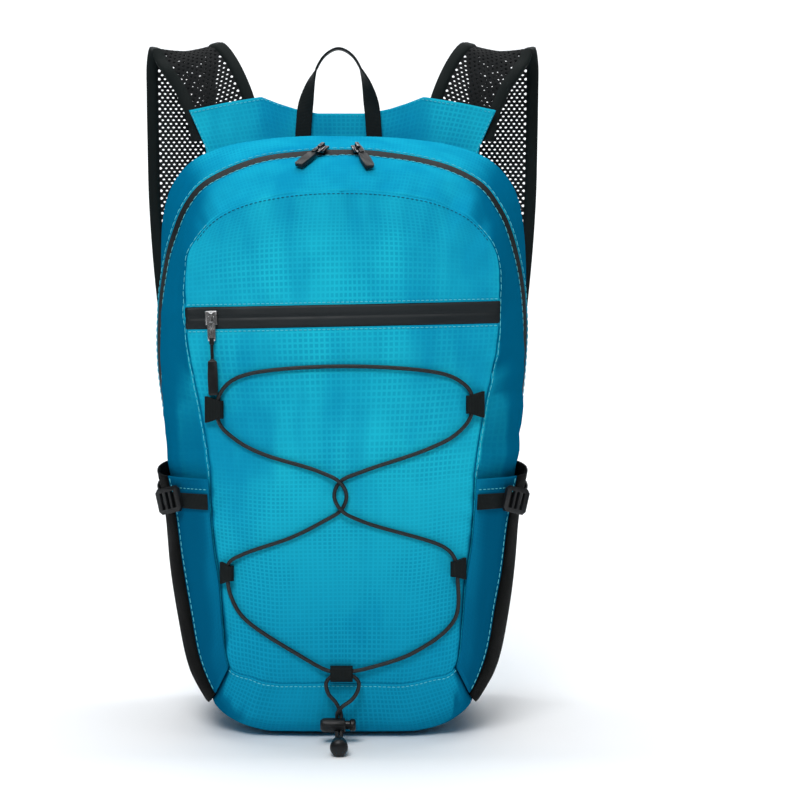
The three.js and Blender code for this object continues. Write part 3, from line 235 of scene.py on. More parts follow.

# %% [markdown]
# ## Cloth, webbing and tube
# Three helpers make nearly all soft pieces. A *patch* starts as a flat grid whose points are then
# laid on the form; a Solidify modifier gives it a wall. A *band* starts as a small ring that is
# extruded along a path, which suits webbing, binding and cord. A *refined* piece is a copy of a
# measured solid with its corners rounded, which suits moulded fittings. Patches and bands keep a UV
# map in metres, so a weave has its real scale wherever it lies.

# %% Helpers for pieces
BLUE, KNIT, NET, BINDING_SLOT, WEBBING_SLOT = (
    "ripstop_blue", "stretch_black", "air_mesh_black", "binding_black", "webbing_black")
TAPE, PLASTIC, DARK_METAL, SILVER, CORD_SLOT = (
    "zip_tape_black", "plastic_black", "metal_dark", "metal_silver", "cord_black")
SHARP_FROM = math.radians(42)
BEVEL_FROM = math.radians(28)
FLAT_WITHIN = math.radians(1)
WELD = 0.01
TUCK_WIDE = 2.2
SIDES = (("R", 1), ("L", -1))


def new_shape():
    """An empty mesh, with the UV layer that the weaves use."""
    shape = bmesh.new()
    return shape, shape.loops.layers.uv.new("cloth")


def map_corners(shape, layer, spot_of):
    for face in shape.faces:
        for corner in face.loops:
            corner[layer].uv = spot_of(corner.vert)


def face_out(shape, away_at):
    """Turns all faces over where they look against away_at(p), with p in millimetres."""
    shape.normal_update()
    if sum(face.normal.dot(away_at(face.calc_center_median() / MM)) for face in shape.faces) < 0:
        bmesh.ops.reverse_faces(shape, faces=shape.faces[:])


def finish_piece(shape, name, material, slot_name, replaced=(), body=BAG, sharp=None):
    mesh = bpy.data.meshes.new(name)
    shape.to_mesh(mesh)
    shape.free()
    piece = bpy.data.objects.new(name, mesh)
    bpy.context.scene.collection.objects.link(piece)
    mesh.materials.append(material)
    mesh.polygons.foreach_set("use_smooth", [True] * len(mesh.polygons))
    if sharp:
        mesh.set_sharp_from_angle(angle=sharp)
    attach(piece, body)
    if replaced:
        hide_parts(*replaced)
    return piece


def solidified(piece, wall, offset=-1):
    thick = piece.modifiers.new("wall", "SOLIDIFY")
    thick.thickness = wall * MM
    thick.offset = offset
    thick.use_even_offset = False
    return piece


def subdivided(piece, levels):
    round_off = piece.modifiers.new("round", "SUBSURF")
    round_off.levels = round_off.render_levels = levels
    return piece


def line_length(points):
    return sum((b - a).length for a, b in zip(points, points[1:]))


def eased(share, ends):
    return share - ends * math.sin(2 * math.pi * share) / (2 * math.pi)


def patch(name, columns, rows, place, material, slot_name, wall=1.2, tuck=(0, 0, 0, 0),
          relief=None, out=outwards, replaced=(), ends=0.0):
    """Cloth over place(u, v), in millimetres. tuck turns the edges in: at v=0, v=1, u=0 and u=1."""
    shape, layer = new_shape()
    bmesh.ops.create_grid(shape, x_segments=columns, y_segments=rows, size=0.5)
    across = line_length([place(u, 0.5) for u in shares(60)])
    up = line_length([place(0.5, v) for v in shares(40)])
    spots = {}
    for vert in shape.verts:
        u, v = (eased(clamp(c + 0.5, 0, 1), ends) for c in vert.co[:2])
        p = place(u, v)
        lift = relief(p) if relief else 0
        for depth, near in zip(tuck, (v * up, (1 - v) * up, u * across, (1 - u) * across)):
            lift -= depth * bell(near, TUCK_WIDE)
        vert.co = (p + out(p) * lift) * MM
        spots[vert] = (u * across * MM, v * up * MM)
    face_out(shape, out)
    map_corners(shape, layer, spots.get)
    return solidified(finish_piece(shape, name, material, slot_name, replaced), wall)


def band(name, rings, material, slot_name, replaced=(), sharp=SHARP_FROM):
    """Closed body through rings of points, in millimetres, by extruding the first ring."""
    shape, layer = new_shape()
    count = len(rings[0])
    ring = bmesh.ops.create_circle(shape, segments=count, radius=1, cap_ends=True)["verts"]
    turn = [(b - a).length for a, b in zip(rings[0], rings[0][1:] + rings[0][:1])]
    around = [sum(turn[:k]) * MM for k in range(count + 1)]
    spots = {}
    for k, (vert, point) in enumerate(zip(ring, rings[0])):
        vert.co = point * MM
        spots[vert] = (0.0, k)
    edges = shape.edges[:]
    run = 0.0
    for before, points in zip(rings, rings[1:]):
        run += (sum(points, Vector()) - sum(before, Vector())).length / count
        made = bmesh.ops.extrude_edge_only(shape, edges=edges)["geom"]
        fresh = {item for item in made if isinstance(item, bmesh.types.BMVert)}
        edges = [item for item in made if isinstance(item, bmesh.types.BMEdge)]
        edges = [edge for edge in edges if all(vert in fresh for vert in edge.verts)]
        follow = []
        for vert, point in zip(ring, points):
            next_vert = next(e.other_vert(vert) for e in vert.link_edges if e.other_vert(vert) in fresh)
            next_vert.co = point * MM
            spots[next_vert] = (run * MM, spots[vert][1])
            follow.append(next_vert)
        ring = follow
    bmesh.ops.contextual_create(shape, geom=edges)
    bmesh.ops.recalc_face_normals(shape, faces=shape.faces[:])
    for face in shape.faces:
        places = [spots[loop.vert] for loop in face.loops]
        wraps = max(p[1] for p in places) - min(p[1] for p in places) > count / 2
        for loop, (s, k) in zip(face.loops, places):
            loop[layer].uv = (s, around[count if wraps and k == 0 else k])
    return finish_piece(shape, name, material, slot_name, replaced, sharp=sharp)


def refined(name, node, material, slot_name, round_by, body=BAG, segments=2):
    """A copy of a measured solid, with its edges rounded by so many millimetres."""
    shape = bmesh.new()
    shape.from_mesh(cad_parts[node].data)
    bmesh.ops.remove_doubles(shape, verts=shape.verts[:], dist=WELD * MM)
    bmesh.ops.dissolve_limit(shape, angle_limit=FLAT_WITHIN, verts=shape.verts[:], edges=shape.edges[:])
    piece = finish_piece(shape, name, material, slot_name, (node,), body)
    if round_by:
        bevel = piece.modifiers.new("rounded", "BEVEL")
        bevel.width = round_by * MM
        bevel.segments = segments
        bevel.limit_method = "ANGLE"
        bevel.angle_limit = BEVEL_FROM
        bevel.harden_normals = True
    return piece


# %% [markdown]
# A path through given points is smoothed with a centripetal spline: it passes through every point
# and does not loop where points lie close together, which a plain cubic would.

# %% Smooth paths
SMALLEST_STEP = 1e-3
WAY_STEP = 0.002
TUBE_SIDES = 10


def spline_point(points, t):
    last = len(points) - 1
    i = min(math.floor(t * last), last - 1)
    s = t * last - i
    b, c = points[i], points[i + 1]
    a = points[i - 1] if i > 0 else 2 * b - c
    d = points[i + 2] if i + 2 <= last else 2 * c - b
    step = max((c - b).length ** 0.5, SMALLEST_STEP)
    first = (b - a).length ** 0.5 or step
    third = (d - c).length ** 0.5 or step
    slope_b = ((b - a) / first - (c - a) / (first + step) + (c - b) / step) * step
    slope_c = ((c - b) / step - (d - b) / (step + third) + (d - c) / third) * step
    return (b + slope_b * s + (3 * (c - b) - 2 * slope_b - slope_c) * s * s
            + (2 * (b - c) + slope_b + slope_c) * s * s * s)


class Path:
    """A smooth path, read by its share of length."""

    def __init__(self, points, fine=600):
        self.fine = [spline_point(points, k / fine) for k in range(fine + 1)]
        self.runs = [0.0]
        for a, b in zip(self.fine, self.fine[1:]):
            self.runs.append(self.runs[-1] + (b - a).length)
        self.length = self.runs[-1]

    def at(self, share):
        wanted = clamp(share, 0, 1) * self.length
        low, high = 0, len(self.runs) - 1
        while high - low > 1:
            middle = (low + high) // 2
            low, high = (middle, high) if self.runs[middle] <= wanted else (low, middle)
        t = (wanted - self.runs[low]) / ((self.runs[high] - self.runs[low]) or 1)
        return self.fine[low].lerp(self.fine[high], t)

    def way(self, share):
        return (self.at(min(1, share + WAY_STEP)) - self.at(max(0, share - WAY_STEP))).normalized()


def flat_ring(centre, across, out, width, thick, crown=0.0):
    """Section of webbing: a flat oblong with round edges, a little thicker in the middle by its crown."""
    half, thin = width / 2, thick / 2
    shoulder, flat, edge = half - thin * 0.6, half * 0.4, thin * 0.4
    lower = [(-shoulder, -thin), (-flat, -thin - crown), (flat, -thin - crown),
             (shoulder, -thin), (half, -edge), (half, edge)]
    return [centre + across * a + out * b for a, b in lower + [(-a, -b) for a, b in lower]]


def strap_rings(path, across_at, width, thick, steps):
    rings = []
    for share in steps:
        way = path.way(share)
        across = across_at(share)
        across = (across - way * across.dot(way)).normalized()
        rings.append(flat_ring(path.at(share), across, way.cross(across), width, thick))
    return rings


def tube_rings(points, radius):
    turns = [2 * math.pi * k / TUBE_SIDES for k in range(TUBE_SIDES)]
    rings = []
    side = (points[1] - points[0]).orthogonal()
    for k, p in enumerate(points):
        way = (points[min(k + 1, len(points) - 1)] - points[max(k - 1, 0)]).normalized()
        side = (side - way * side.dot(way)).normalized()
        up = way.cross(side)
        rings.append([p + (side * math.cos(turn) + up * math.sin(turn)) * radius for turn in turns])
    return rings


def mirrored(rings):
    return [[Vector((-p.x, p.y, p.z)) for p in reversed(ring)] for ring in rings]


def on_side(side, rings):
    return rings if side > 0 else mirrored(rings)



# %% [markdown]
# ## Elastic cord
# The cord is one length of braided elastic, threaded from the bottom loop up the left side, hooked
# round itself in the middle, across the top and back by the right side. It lies on the cloth, so its
# route is set as places on the front and laid on the surface, a little above it.

# %% The cord's route
CORD = 2.8
CORD_REST = 0.6
LOOP_WEB = 1.2
LOOP_ROOM = 0.6
GAP = 0.3
CORD_LIFT = CORD / 2 + CORD_REST
LOOP_LIFT = GAP + (CORD + 2 * LOOP_ROOM + 2 * LOOP_WEB) / 2 - CORD_LIFT
OVER = CORD + 0.4
LACING = [
    (-0.15, 50.6, LOOP_LIFT), (-9, 50.7, LOOP_LIFT), (-31.5, 62.6, 0), (-69.5, 88.9, 0), (-77.4, 102, 0),
    (-79.8, 112, LOOP_LIFT), (-79.4, 126.5, LOOP_LIFT), (-70.5, 132.4, 0.4), (-34.9, 145.5, 0),
    (-13.5, 156.4, 0), (-0.8, 164.6, 0), (2.8, 174.5, 0.6), (-1.7, 184, OVER), (-16.9, 191.4, 0.6),
    (-57, 203.6, 0),
    (-74, 212.5, 0.3), (-85.9, 224.5, LOOP_LIFT), (-86.6, 241, LOOP_LIFT), (-80, 251.5, 0.4), (-66, 258.3, 0),
    (0, 264, 0), (69, 258.8, 0), (83, 252.6, 0.4), (89.6, 245, LOOP_LIFT), (89.4, 229, LOOP_LIFT),
    (78.5, 216, 0.3), (59.1, 206.3, 0), (14, 191.2, 0), (-1.7, 184, 0), (-5.8, 174.5, 0.6),
    (-0.8, 164.6, OVER), (13.5, 156.7, 0.6), (71, 137.8, 0.3), (78.2, 130, LOOP_LIFT), (80.3, 116, LOOP_LIFT),
    (78.5, 87.2, 0), (50.1, 63.9, 0), (19.3, 53, 0.6), (8, 50.7, LOOP_LIFT), (0.15, 50.6, LOOP_LIFT),
]
LOCK_AT = (-2.4, 4.6, 13.5)
LOCK_LEAN = math.pi / 6
STRAND_HALF = CORD / 2 + 0.1
END_AT = 25
END_LEVEL = 5.5
TAILS = {
    "L": [(-0.15, 0, 47.5), (-6.5, 0, 47.4), (-11.3, 0.3, 42.7), (-10, 0.6, 35), (-5, 0.6, 29),
          (-1.5, 0.9, 22.5)],
    "R": [(0.15, 0, 47.5), (6.5, 0, 47.4), (11.3, 0.5, 42.9), (10.4, 1.4, 36.5), (6.5, 3, 31), (0, 4.6, 26.5),
          (-3.4, 3.6, 22)],
}
TAIL_FLOOR = [(11, 5.6), (17, 4.2), (22, 4.9), (END_AT, END_LEVEL)]
LOOP_LINE = front_y(0, 49.2) - CORD_LIFT - LOOP_LIFT

flat_route = Path([Vector((x, lift, z)) for x, z, lift in LACING], 1200)
lacing_points = []
for share in shares(360):
    p = flat_route.at(share)
    lacing_points.append(Vector((p.x, front_y(p.x, p.z) - CORD_LIFT - p.y, p.z)))


def ahead(x, forward, z):
    return Vector((x, LOOP_LINE - forward, z))


tail_points = {}
for tag, side in (("L", 1), ("R", -1)):
    x = LOCK_AT[0] + side * STRAND_HALF
    in_lock = [(x, LOCK_AT[1] + run * math.sin(LOCK_LEAN), LOCK_AT[2] - run * math.cos(LOCK_LEAN))
               for run in (-5.5, 0, 5.5)]
    on_floor = [(x, forward, z) for forward, z in TAIL_FLOOR]
    route = Path([ahead(*p) for p in (*TAILS[tag], *in_lock, *on_floor)])
    tail_points[tag] = [route.at(share) for share in shares(90)]
print("lacing", round(line_length(lacing_points)), "mm; strands",
      [round(line_length(points)) for points in tail_points.values()], "mm")

# %% [markdown]
# ## Finishes
# Ripstop is a fine weave with a thicker thread every few millimetres, which shows here as small
# darker squares between lighter lines. The squares could be modelled, but they are only a tenth of a
# millimetre deep, so they are a pattern on the UV map with a slight bump. The cloth has no gloss of
# its own, because a gloss turns the flanks grey where they are seen at a low angle. Instead, light
# and shade are painted into its colour: painted shade on the flanks, low down and on faces that look
# up, and a painted satin sheen in soft patches and streaks. The weave is a shader group with named
# inputs, since several finishes use it.

# %% Small node helpers
THREAD = 0.35


def new_material(name):
    material = bpy.data.materials.new(name)
    material.use_nodes = True
    tree = material.node_tree
    tree.nodes.clear()
    output = tree.nodes.new("ShaderNodeOutputMaterial")
    shader = tree.nodes.new("ShaderNodeBsdfPrincipled")
    tree.links.new(shader.outputs["BSDF"], output.inputs["Surface"])
    return material, tree, shader


def feed(tree, socket, value):
    """Gives a socket its value: another socket, a colour or a number."""
    if isinstance(value, bpy.types.NodeSocket):
        tree.links.new(value, socket)
    elif isinstance(value, tuple):
        socket.default_value = (*value, 1)
    else:
        socket.default_value = value


def math_node(tree, operation, *values):
    node = tree.nodes.new("ShaderNodeMath")
    node.operation = operation
    for socket, value in zip(node.inputs, values):
        feed(tree, socket, value)
    return node.outputs[0]


def smooth_range(tree, value, low, high, to_low=0.0, to_high=1.0):
    node = tree.nodes.new("ShaderNodeMapRange")
    node.interpolation_type = "SMOOTHSTEP"
    for key, given in (("Value", value), ("From Min", low), ("From Max", high),
                       ("To Min", to_low), ("To Max", to_high)):
        feed(tree, node.inputs[key], given)
    return node.outputs["Result"]


def blend_colour(tree, share, first, second):
    node = tree.nodes.new("ShaderNodeMix")
    node.data_type = "RGBA"
    feed(tree, node.inputs[0], share)
    for socket, value in zip([socket for socket in node.inputs if socket.type == "RGBA"], (first, second)):
        feed(tree, socket, value)
    return next(socket for socket in node.outputs if socket.type == "RGBA")


def split_xyz(tree, vector):
    node = tree.nodes.new("ShaderNodeSeparateXYZ")
    tree.links.new(vector, node.inputs[0])
    return node.outputs


def bump_into(tree, shader, height, strength, distance):
    node = tree.nodes.new("ShaderNodeBump")
    node.inputs["Strength"].default_value = strength
    node.inputs["Distance"].default_value = distance
    tree.links.new(height, node.inputs["Height"])
    tree.links.new(node.outputs["Normal"], shader.inputs["Normal"])


def vary_roughness(tree, shader, value, low, high):
    tree.links.new(smooth_range(tree, value, 0.3, 0.7, low, high), shader.inputs["Roughness"])


def coordinates(tree, kind):
    return tree.nodes.new("ShaderNodeTexCoord").outputs[kind]


def soft_noise(tree, vector, scale, detail=2.0, rough=0.5):
    node = tree.nodes.new("ShaderNodeTexNoise")
    tree.links.new(vector, node.inputs["Vector"])
    node.inputs["Scale"].default_value = scale
    node.inputs["Detail"].default_value = detail
    node.inputs["Roughness"].default_value = rough
    return node.outputs["Fac"]


def new_group(name, inputs, outputs):
    tree = bpy.data.node_groups.new(name, "ShaderNodeTree")
    for label, kind, default in inputs:
        socket = tree.interface.new_socket(name=label, in_out="INPUT", socket_type=kind)
        if default is not None:
            socket.default_value = default
    for label in outputs:
        tree.interface.new_socket(name=label, in_out="OUTPUT", socket_type="NodeSocketFloat")
    return tree, tree.nodes.new("NodeGroupInput"), tree.nodes.new("NodeGroupOutput")


def place_group(tree, group, vector, **values):
    node = tree.nodes.new("ShaderNodeGroup")
    node.node_tree = group
    tree.links.new(vector, node.inputs["Vector"])
    for label, value in values.items():
        node.inputs[label].default_value = value
    return node


# %% A group for square and ribbed weaves
def weave_group():
    tree, source, result = new_group(
        "weave", [("Vector", "NodeSocketVector", None), ("Across", "NodeSocketFloat", 3.4),
                  ("Along", "NodeSocketFloat", 3.4), ("Low", "NodeSocketFloat", 0.3),
                  ("High", "NodeSocketFloat", 0.7)], ["Squares", "Threads"])
    given = source.outputs
    metres = split_xyz(tree, given["Vector"])

    def wave(value, pitch):
        """Runs from 0 to 1 and back in each pitch, which is in millimetres."""
        turns = math_node(tree, "DIVIDE", math_node(tree, "MULTIPLY", value, 1000.0), pitch)
        return math_node(tree, "MULTIPLY", math_node(tree, "PINGPONG", turns, 0.5), 2.0)

    columns = smooth_range(tree, wave(metres["X"], given["Across"]), given["Low"], given["High"])
    rows = smooth_range(tree, wave(metres["Y"], given["Along"]), given["Low"], given["High"])
    tree.links.new(math_node(tree, "MULTIPLY", columns, rows), result.inputs["Squares"])
    threads = math_node(tree, "ADD", wave(metres["X"], THREAD), wave(metres["Y"], THREAD))
    tree.links.new(threads, result.inputs["Threads"])
    return tree


WEAVE = weave_group()

# %% Cloth finishes
CREASE = 45.0  # how far the drawn creases stand above the weave's threads


def ripstop(name, light, deep, flank, square_share=0.5):
    """Blue cloth: light in front, deep in its squares, flank on the turned-away sides; painted shade low
    down, on faces that look up and on the flanks, and a painted satin sheen in patches and streaks.
    """
    material, tree, shader = new_material(name)
    weave = place_group(tree, WEAVE, coordinates(tree, "UV"), Across=3.15, Along=3.35, Low=0.22, High=0.50)
    squares = weave.outputs["Squares"]
    place = coordinates(tree, "Object")
    height = split_xyz(tree, place)["Z"]
    drawn = tree.nodes.new("ShaderNodeVectorMath")
    drawn.operation = "MULTIPLY"
    tree.links.new(place, drawn.inputs[0])
    drawn.inputs[1].default_value = (1.0, 1.0, 0.2)

    # Painted satin sheen: soft patches and upright streaks move the colour between light and deep.
    drift = smooth_range(tree, soft_noise(tree, place, 9.0, 3.0, 0.55), 0.36, 0.64)
    sheen_streak = smooth_range(tree, soft_noise(tree, drawn.outputs[0], 38.0), 0.38, 0.66)
    deeper = math_node(tree, "MULTIPLY_ADD", sheen_streak, 0.35, math_node(tree, "MULTIPLY", drift, 0.45))
    # Painted shade: the cloth and its squares get darker towards the bottom, as if the light came from above.
    shade_low_down = smooth_range(tree, height, 0.015, 0.25, 0.78, 0.0)
    ground = blend_colour(tree, math_node(tree, "MAXIMUM", deeper, shade_low_down), light, deep)

    # The squares show more in some patches than in others: a painted satin sheen.
    clear = smooth_range(tree, soft_noise(tree, place, 22.0), 0.35, 0.65, 0.45, 1.0)
    shown = math_node(tree, "MULTIPLY", math_node(tree, "MULTIPLY", squares, square_share), clear)
    woven = blend_colour(tree, shown, ground, blend_colour(tree, shade_low_down, deep, flank))

    # Painted shade on the flanks: the colour turns to the flank colour where the cloth faces sideways and
    # away from the view, and low down on the sides.
    normal = split_xyz(tree, tree.nodes.new("ShaderNodeNewGeometry").outputs["Normal"])
    sideways = math_node(tree, "ABSOLUTE", normal["X"])
    aside = tree.nodes.new("ShaderNodeLayerWeight")
    aside.inputs["Blend"].default_value = 0.5
    turned_away_shade = math_node(tree, "MULTIPLY", smooth_range(tree, aside.outputs["Facing"], 0.10, 0.44),
                            smooth_range(tree, sideways, 0.3, 0.75, 0.2, 1.0))
    low_flank_shade = math_node(tree, "MULTIPLY", smooth_range(tree, height, 0.20, 0.30, 0.85, 0.0),
                          smooth_range(tree, sideways, 0.32, 0.55))
    # Painted shade on faces that look up: they are drawn towards the deep colour.
    shaded_on_top = blend_colour(tree, smooth_range(tree, normal["Z"], 0.40, 0.90, 0.0, 0.40), woven, deep)
    colour = blend_colour(tree, math_node(tree, "MAXIMUM", turned_away_shade, low_flank_shade), shaded_on_top, flank)
    tree.links.new(colour, shader.inputs["Base Color"])

    vary_roughness(tree, shader, soft_noise(tree, place, 60.0), 0.45, 0.57)
    threads = math_node(tree, "MULTIPLY_ADD", weave.outputs["Threads"], 0.12,
                        math_node(tree, "MULTIPLY", squares, -0.6))
    creased = math_node(tree, "MULTIPLY_ADD", soft_noise(tree, drawn.outputs[0], 50.0), CREASE, threads)
    bump_into(tree, shader, creased, 0.35, 0.00018)
    shader.inputs["Specular IOR Level"].default_value = 0.0
    return material


def dark_weave(name, colour, lighter, across, along, rough, strength, gloss=0.15):
    """Black webbing, knit or braid, with a pitch in millimetres across and along."""
    material, tree, shader = new_material(name)
    weave = place_group(tree, WEAVE, coordinates(tree, "UV"), Across=across, Along=along, Low=0.2, High=0.8)
    squares = weave.outputs["Squares"]
    drift = soft_noise(tree, coordinates(tree, "Object"), 40.0, 3.0)
    share = math_node(tree, "MULTIPLY", squares, smooth_range(tree, drift, 0.3, 0.7, 0.5, 1.0))
    tree.links.new(blend_colour(tree, share, colour, lighter), shader.inputs["Base Color"])
    vary_roughness(tree, shader, drift, rough - 0.06, rough + 0.06)
    bump_into(tree, shader, squares, strength, 0.0002)
    shader.inputs["Specular IOR Level"].default_value = gloss
    return material


def shaded(colour, by):
    return tuple(channel * by for channel in colour)


def moulded(name, colour, rough):
    material, tree, shader = new_material(name)
    place = coordinates(tree, "Object")
    handled = soft_noise(tree, place, 90.0, 3.0)
    tree.links.new(blend_colour(tree, smooth_range(tree, handled, 0.4, 0.7), colour, shaded(colour, 1.5)),
                   shader.inputs["Base Color"])
    vary_roughness(tree, shader, handled, rough - 0.08, rough + 0.08)
    bump_into(tree, shader, soft_noise(tree, place, 900.0), 0.12, 0.0001)
    shader.inputs["Specular IOR Level"].default_value = 0.3
    return material


def metal(name, colour, rough):
    material, tree, shader = new_material(name)
    shader.inputs["Metallic"].default_value = 1
    handled = soft_noise(tree, coordinates(tree, "Object"), 250.0, 3.0)
    tree.links.new(blend_colour(tree, handled, colour, shaded(colour, 0.7)), shader.inputs["Base Color"])
    vary_roughness(tree, shader, handled, rough - 0.06, rough + 0.1)
    return material


def thread(name, colour):
    material, tree, shader = new_material(name)
    twist = soft_noise(tree, coordinates(tree, "Object"), 1400.0, 1.0)
    tree.links.new(blend_colour(tree, twist, colour, shaded(colour, 0.6)), shader.inputs["Base Color"])
    shader.inputs["Roughness"].default_value = 0.7
    shader.inputs["Specular IOR Level"].default_value = 0.1
    return material


cloth = ripstop("ripstop", (0.014, 0.520, 0.690), (0.003, 0.250, 0.460), (0.0005, 0.135, 0.270))
# The same ripstop, darker for the side pockets' strips: painted shade, since they face sideways.
shaded_side_cloth = ripstop("ripstop_shaded_side", (0.003, 0.190, 0.340), (0.001, 0.110, 0.230), (0.0005, 0.095, 0.200),
                     0.25)
knit = dark_weave("stretch_knit", (0.0015, 0.002, 0.002), (0.005, 0.006, 0.006), 0.9, 0.7, 0.8, 0.5, 0.04)
net_yarn = dark_weave("net_yarn", (0.005, 0.006, 0.007), (0.014, 0.016, 0.017), 0.5, 0.5, 0.7, 0.6)
tape_weave = dark_weave("binding_tape", (0.0045, 0.0075, 0.0075), (0.010, 0.015, 0.015), 0.6, 0.6, 0.7,
                        0.35, 0.12)
webbing = dark_weave("webbing", (0.0045, 0.0070, 0.0072), (0.012, 0.017, 0.018), 1.1, 0.9, 0.65, 0.8, 0.15)
coated = dark_weave("coated_tape", (0.008, 0.012, 0.014), (0.014, 0.019, 0.022), 0.8, 0.8, 0.5, 0.2, 0.25)
braid = dark_weave("braid", (0.004, 0.005, 0.006), (0.024, 0.028, 0.030), 0.9, 1.1, 0.45, 0.9, 0.45)
plastic = moulded("moulded", (0.006, 0.007, 0.008), 0.4)
dark_metal = metal("dark_metal", (0.14, 0.14, 0.145), 0.3)
silver = metal("silver", (0.72, 0.72, 0.73), 0.2)
satin_metal = metal("satin_metal", (0.36, 0.36, 0.365), 0.3)
# The light cyan is the stitches' thread, and in the almost unbroken rows beside the zip it is also a painted
# highlight on the folded cloth edges.
thread_and_highlight = thread("thread_and_highlight", (0.15, 0.80, 0.92))
deep_thread = thread("deep_thread", (0.004, 0.10, 0.19))
print("finishes:", len(bpy.data.materials))

# %% [markdown]
# ## Folds
# Thin coated cloth is never smooth: it puckers along every seam, where the thread draws it up, and
# it swells softly between. Both are moves of the grid's points along the outward direction, read
# from noise by their place, so neighbouring panels move together and their edges still meet. Cords
# and fittings press the cloth down, so the folds fade out beside them.

# %% Folds over the whole form
LOOPS = {  # x, z, along the cord, across the cord
    "UL": (-88.4, 233.5, 17, 15), "UR": (91.5, 237.0, 17, 15), "LL": (-79, 119.5, 14, 13),
    "LR": (79.8, 122.5, 14, 13), "B": (-0.7, 49.2, 14.5, 11.7),
}
LOOP_REACH = 5
FITTINGS = ("main_slider_L", "main_slider_R", "main_pull_L", "main_pull_R", "pocket_slider",
            "pocket_pull", "pocket_link", "main_ring_L", "main_ring_R")
pressed = lacing_points[::3] + tail_points["L"][::6] + tail_points["R"][::6]
for x, z, long, deep in LOOPS.values():
    pressed.extend(on_front(x + dx, z + dz) for dx in (-LOOP_REACH, 0, LOOP_REACH)
                   for dz in (-LOOP_REACH, 0, LOOP_REACH))
for node in FITTINGS:
    low, high = (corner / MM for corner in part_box(node))
    for share in shares(4):
        pressed.append(Vector((mix(low.x, high.x, share), (low.y + high.y) / 2, mix(low.z, high.z, share))))
contact = KDTree(len(pressed))
for number, p in enumerate(pressed):
    contact.insert(p, number)
contact.balance()

# how far each kind of fold moves the cloth, in millimetres
SWELL = 1.5
RIPPLE = 0.5
SEAM_PUCKER = 1.5
PUCKER_ADDED_HIGH_UP = 1.0
SEAM_WRINKLE = 0.7
FLANK_CREASE = 2.2
DEEPEST, HIGHEST = -2.6, 2.2
# where the folds are
FRONT_HALF = -20
SEAM_SHARE = 0.13
SEAM_RUN = 14
HIGH_UP_FROM, HIGH_UP_RUN = 250, 80
FLANK_FROM, FLANK_RUN = 40, 50
# beside what lies on the cloth
HELD_WITHIN = 3.5
FREE_AFTER = 15
HELD_HOLLOW = 0.25
BASE_RUN = 14


def wave_noise(x, y, z):
    return noise.noise(Vector((x, y, z)))


def under_side_pocket(p):
    return p.z < 193 and p.y > -78 and abs(p.x) > 80


def folds(p):
    """How far the cloth lies outside its plain form at a point, in millimetres."""
    lift = (SWELL * wave_noise(p.x * 0.013, p.y * 0.013 + 5, p.z * 0.013)
            + RIPPLE * wave_noise(p.x * 0.04, p.y * 0.04, p.z * 0.04 + 9))
    if p.y < FRONT_HALF:
        share = seam_share(p.x, p.z)
        turn = math.atan2(p.x, MID_HEIGHT - p.z)
        near = bell(1 - share, SEAM_SHARE) if share < 0.999 else bell(p.y - seam_depth(p.z), SEAM_RUN)
        high_up = clamp((p.z - HIGH_UP_FROM) / HIGH_UP_RUN, 0, 1)
        pucker = SEAM_PUCKER + PUCKER_ADDED_HIGH_UP * high_up
        lift += near * pucker * wave_noise(turn * 11, share * 0.8, 3.1)
        lift += near * SEAM_WRINKLE * wave_noise(turn * 27, share * 2.0, 6.3)
        flank = clamp((abs(p.x) - FLANK_FROM) / FLANK_RUN, 0, 1) * (1 - high_up)
        lift += FLANK_CREASE * flank * wave_noise(p.x * 0.012, 7.7, p.z * 0.085)
    lift = clamp(lift, DEEPEST, HIGHEST)
    free = clamp((contact.find(p)[2] - HELD_WITHIN) / FREE_AFTER, 0, 1)
    free = free * free * (3 - 2 * free)
    lift = min(lift, 0) * mix(HELD_HOLLOW, 1, free) + max(lift, 0) * free
    if under_side_pocket(p):
        lift = min(lift, 0.15)
    return lift * clamp(p.z / BASE_RUN, 0, 1)


# %% [markdown]
# ## Body panels
# On the real bag six flat cuts of cloth make the body, and each seam turns two raw edges inwards.
# Here each panel is a grid laid on the form, with its edges turned in a little, so a seam shows as a
# real valley. The grid is finer towards its edges, where the turn is.

# %% Places on the panels
ZIP_WIDTH = 4.8
BAND_HEIGHT = 15.5
BAND_LEVEL = 299
BAND_TILT = 0.02
TUCK = 0.9


def arch_station(u):
    """From the right base corner (u=0) over the top to the left one (u=1)."""
    if u <= 0.5:
        return mix(SIDE_START, TOP, 2 * u)
    return -mix(TOP, SIDE_START, 2 * u - 1)


@functools.lru_cache(maxsize=None)
def place_step(at, place, width):
    near = (body_point(at, place) - body_point(at, place - 0.05)).length
    return 0.05 * width / near


ZIP_SEAM = 0.12
ZIP_OVERLAP = 0.4
FADE = 0.25
ZIP_TILT = 1.9
TILT_FADE = 1.5
TILT_BEHIND, TILT_BEFORE = 0.28, 0.9


def zip_room(station):
    """Half of the room that the zip takes; it closes to a plain seam below the zip's ends."""
    open_share = clamp((abs(station) - ZIP_END) / FADE + 1, 0, 1)
    return mix(ZIP_SEAM, ZIP_WIDTH / 2 - ZIP_OVERLAP, open_share)


def cloth_point(station, place):
    """On the body. The gusset rises towards the zip and the band dips, so the zip faces the front."""
    p = body_point(station, place)
    from_zip = place - ZIP_PLACE
    slope = clamp(from_zip / place_step(abs(station), ZIP_PLACE, ZIP_WIDTH / 2), -1, 1)
    reach = bell(from_zip, TILT_BEHIND if from_zip < 0 else TILT_BEFORE)
    grown = clamp((abs(station) - ZIP_END) / TILT_FADE, 0, 1)
    return p - outwards(p) * (ZIP_TILT * slope * reach * grown)


def rear_place(u, v):
    station = arch_station(u)
    end = ZIP_PLACE - place_step(abs(station), ZIP_PLACE, zip_room(station))
    return cloth_point(station, mix(0, end, v))


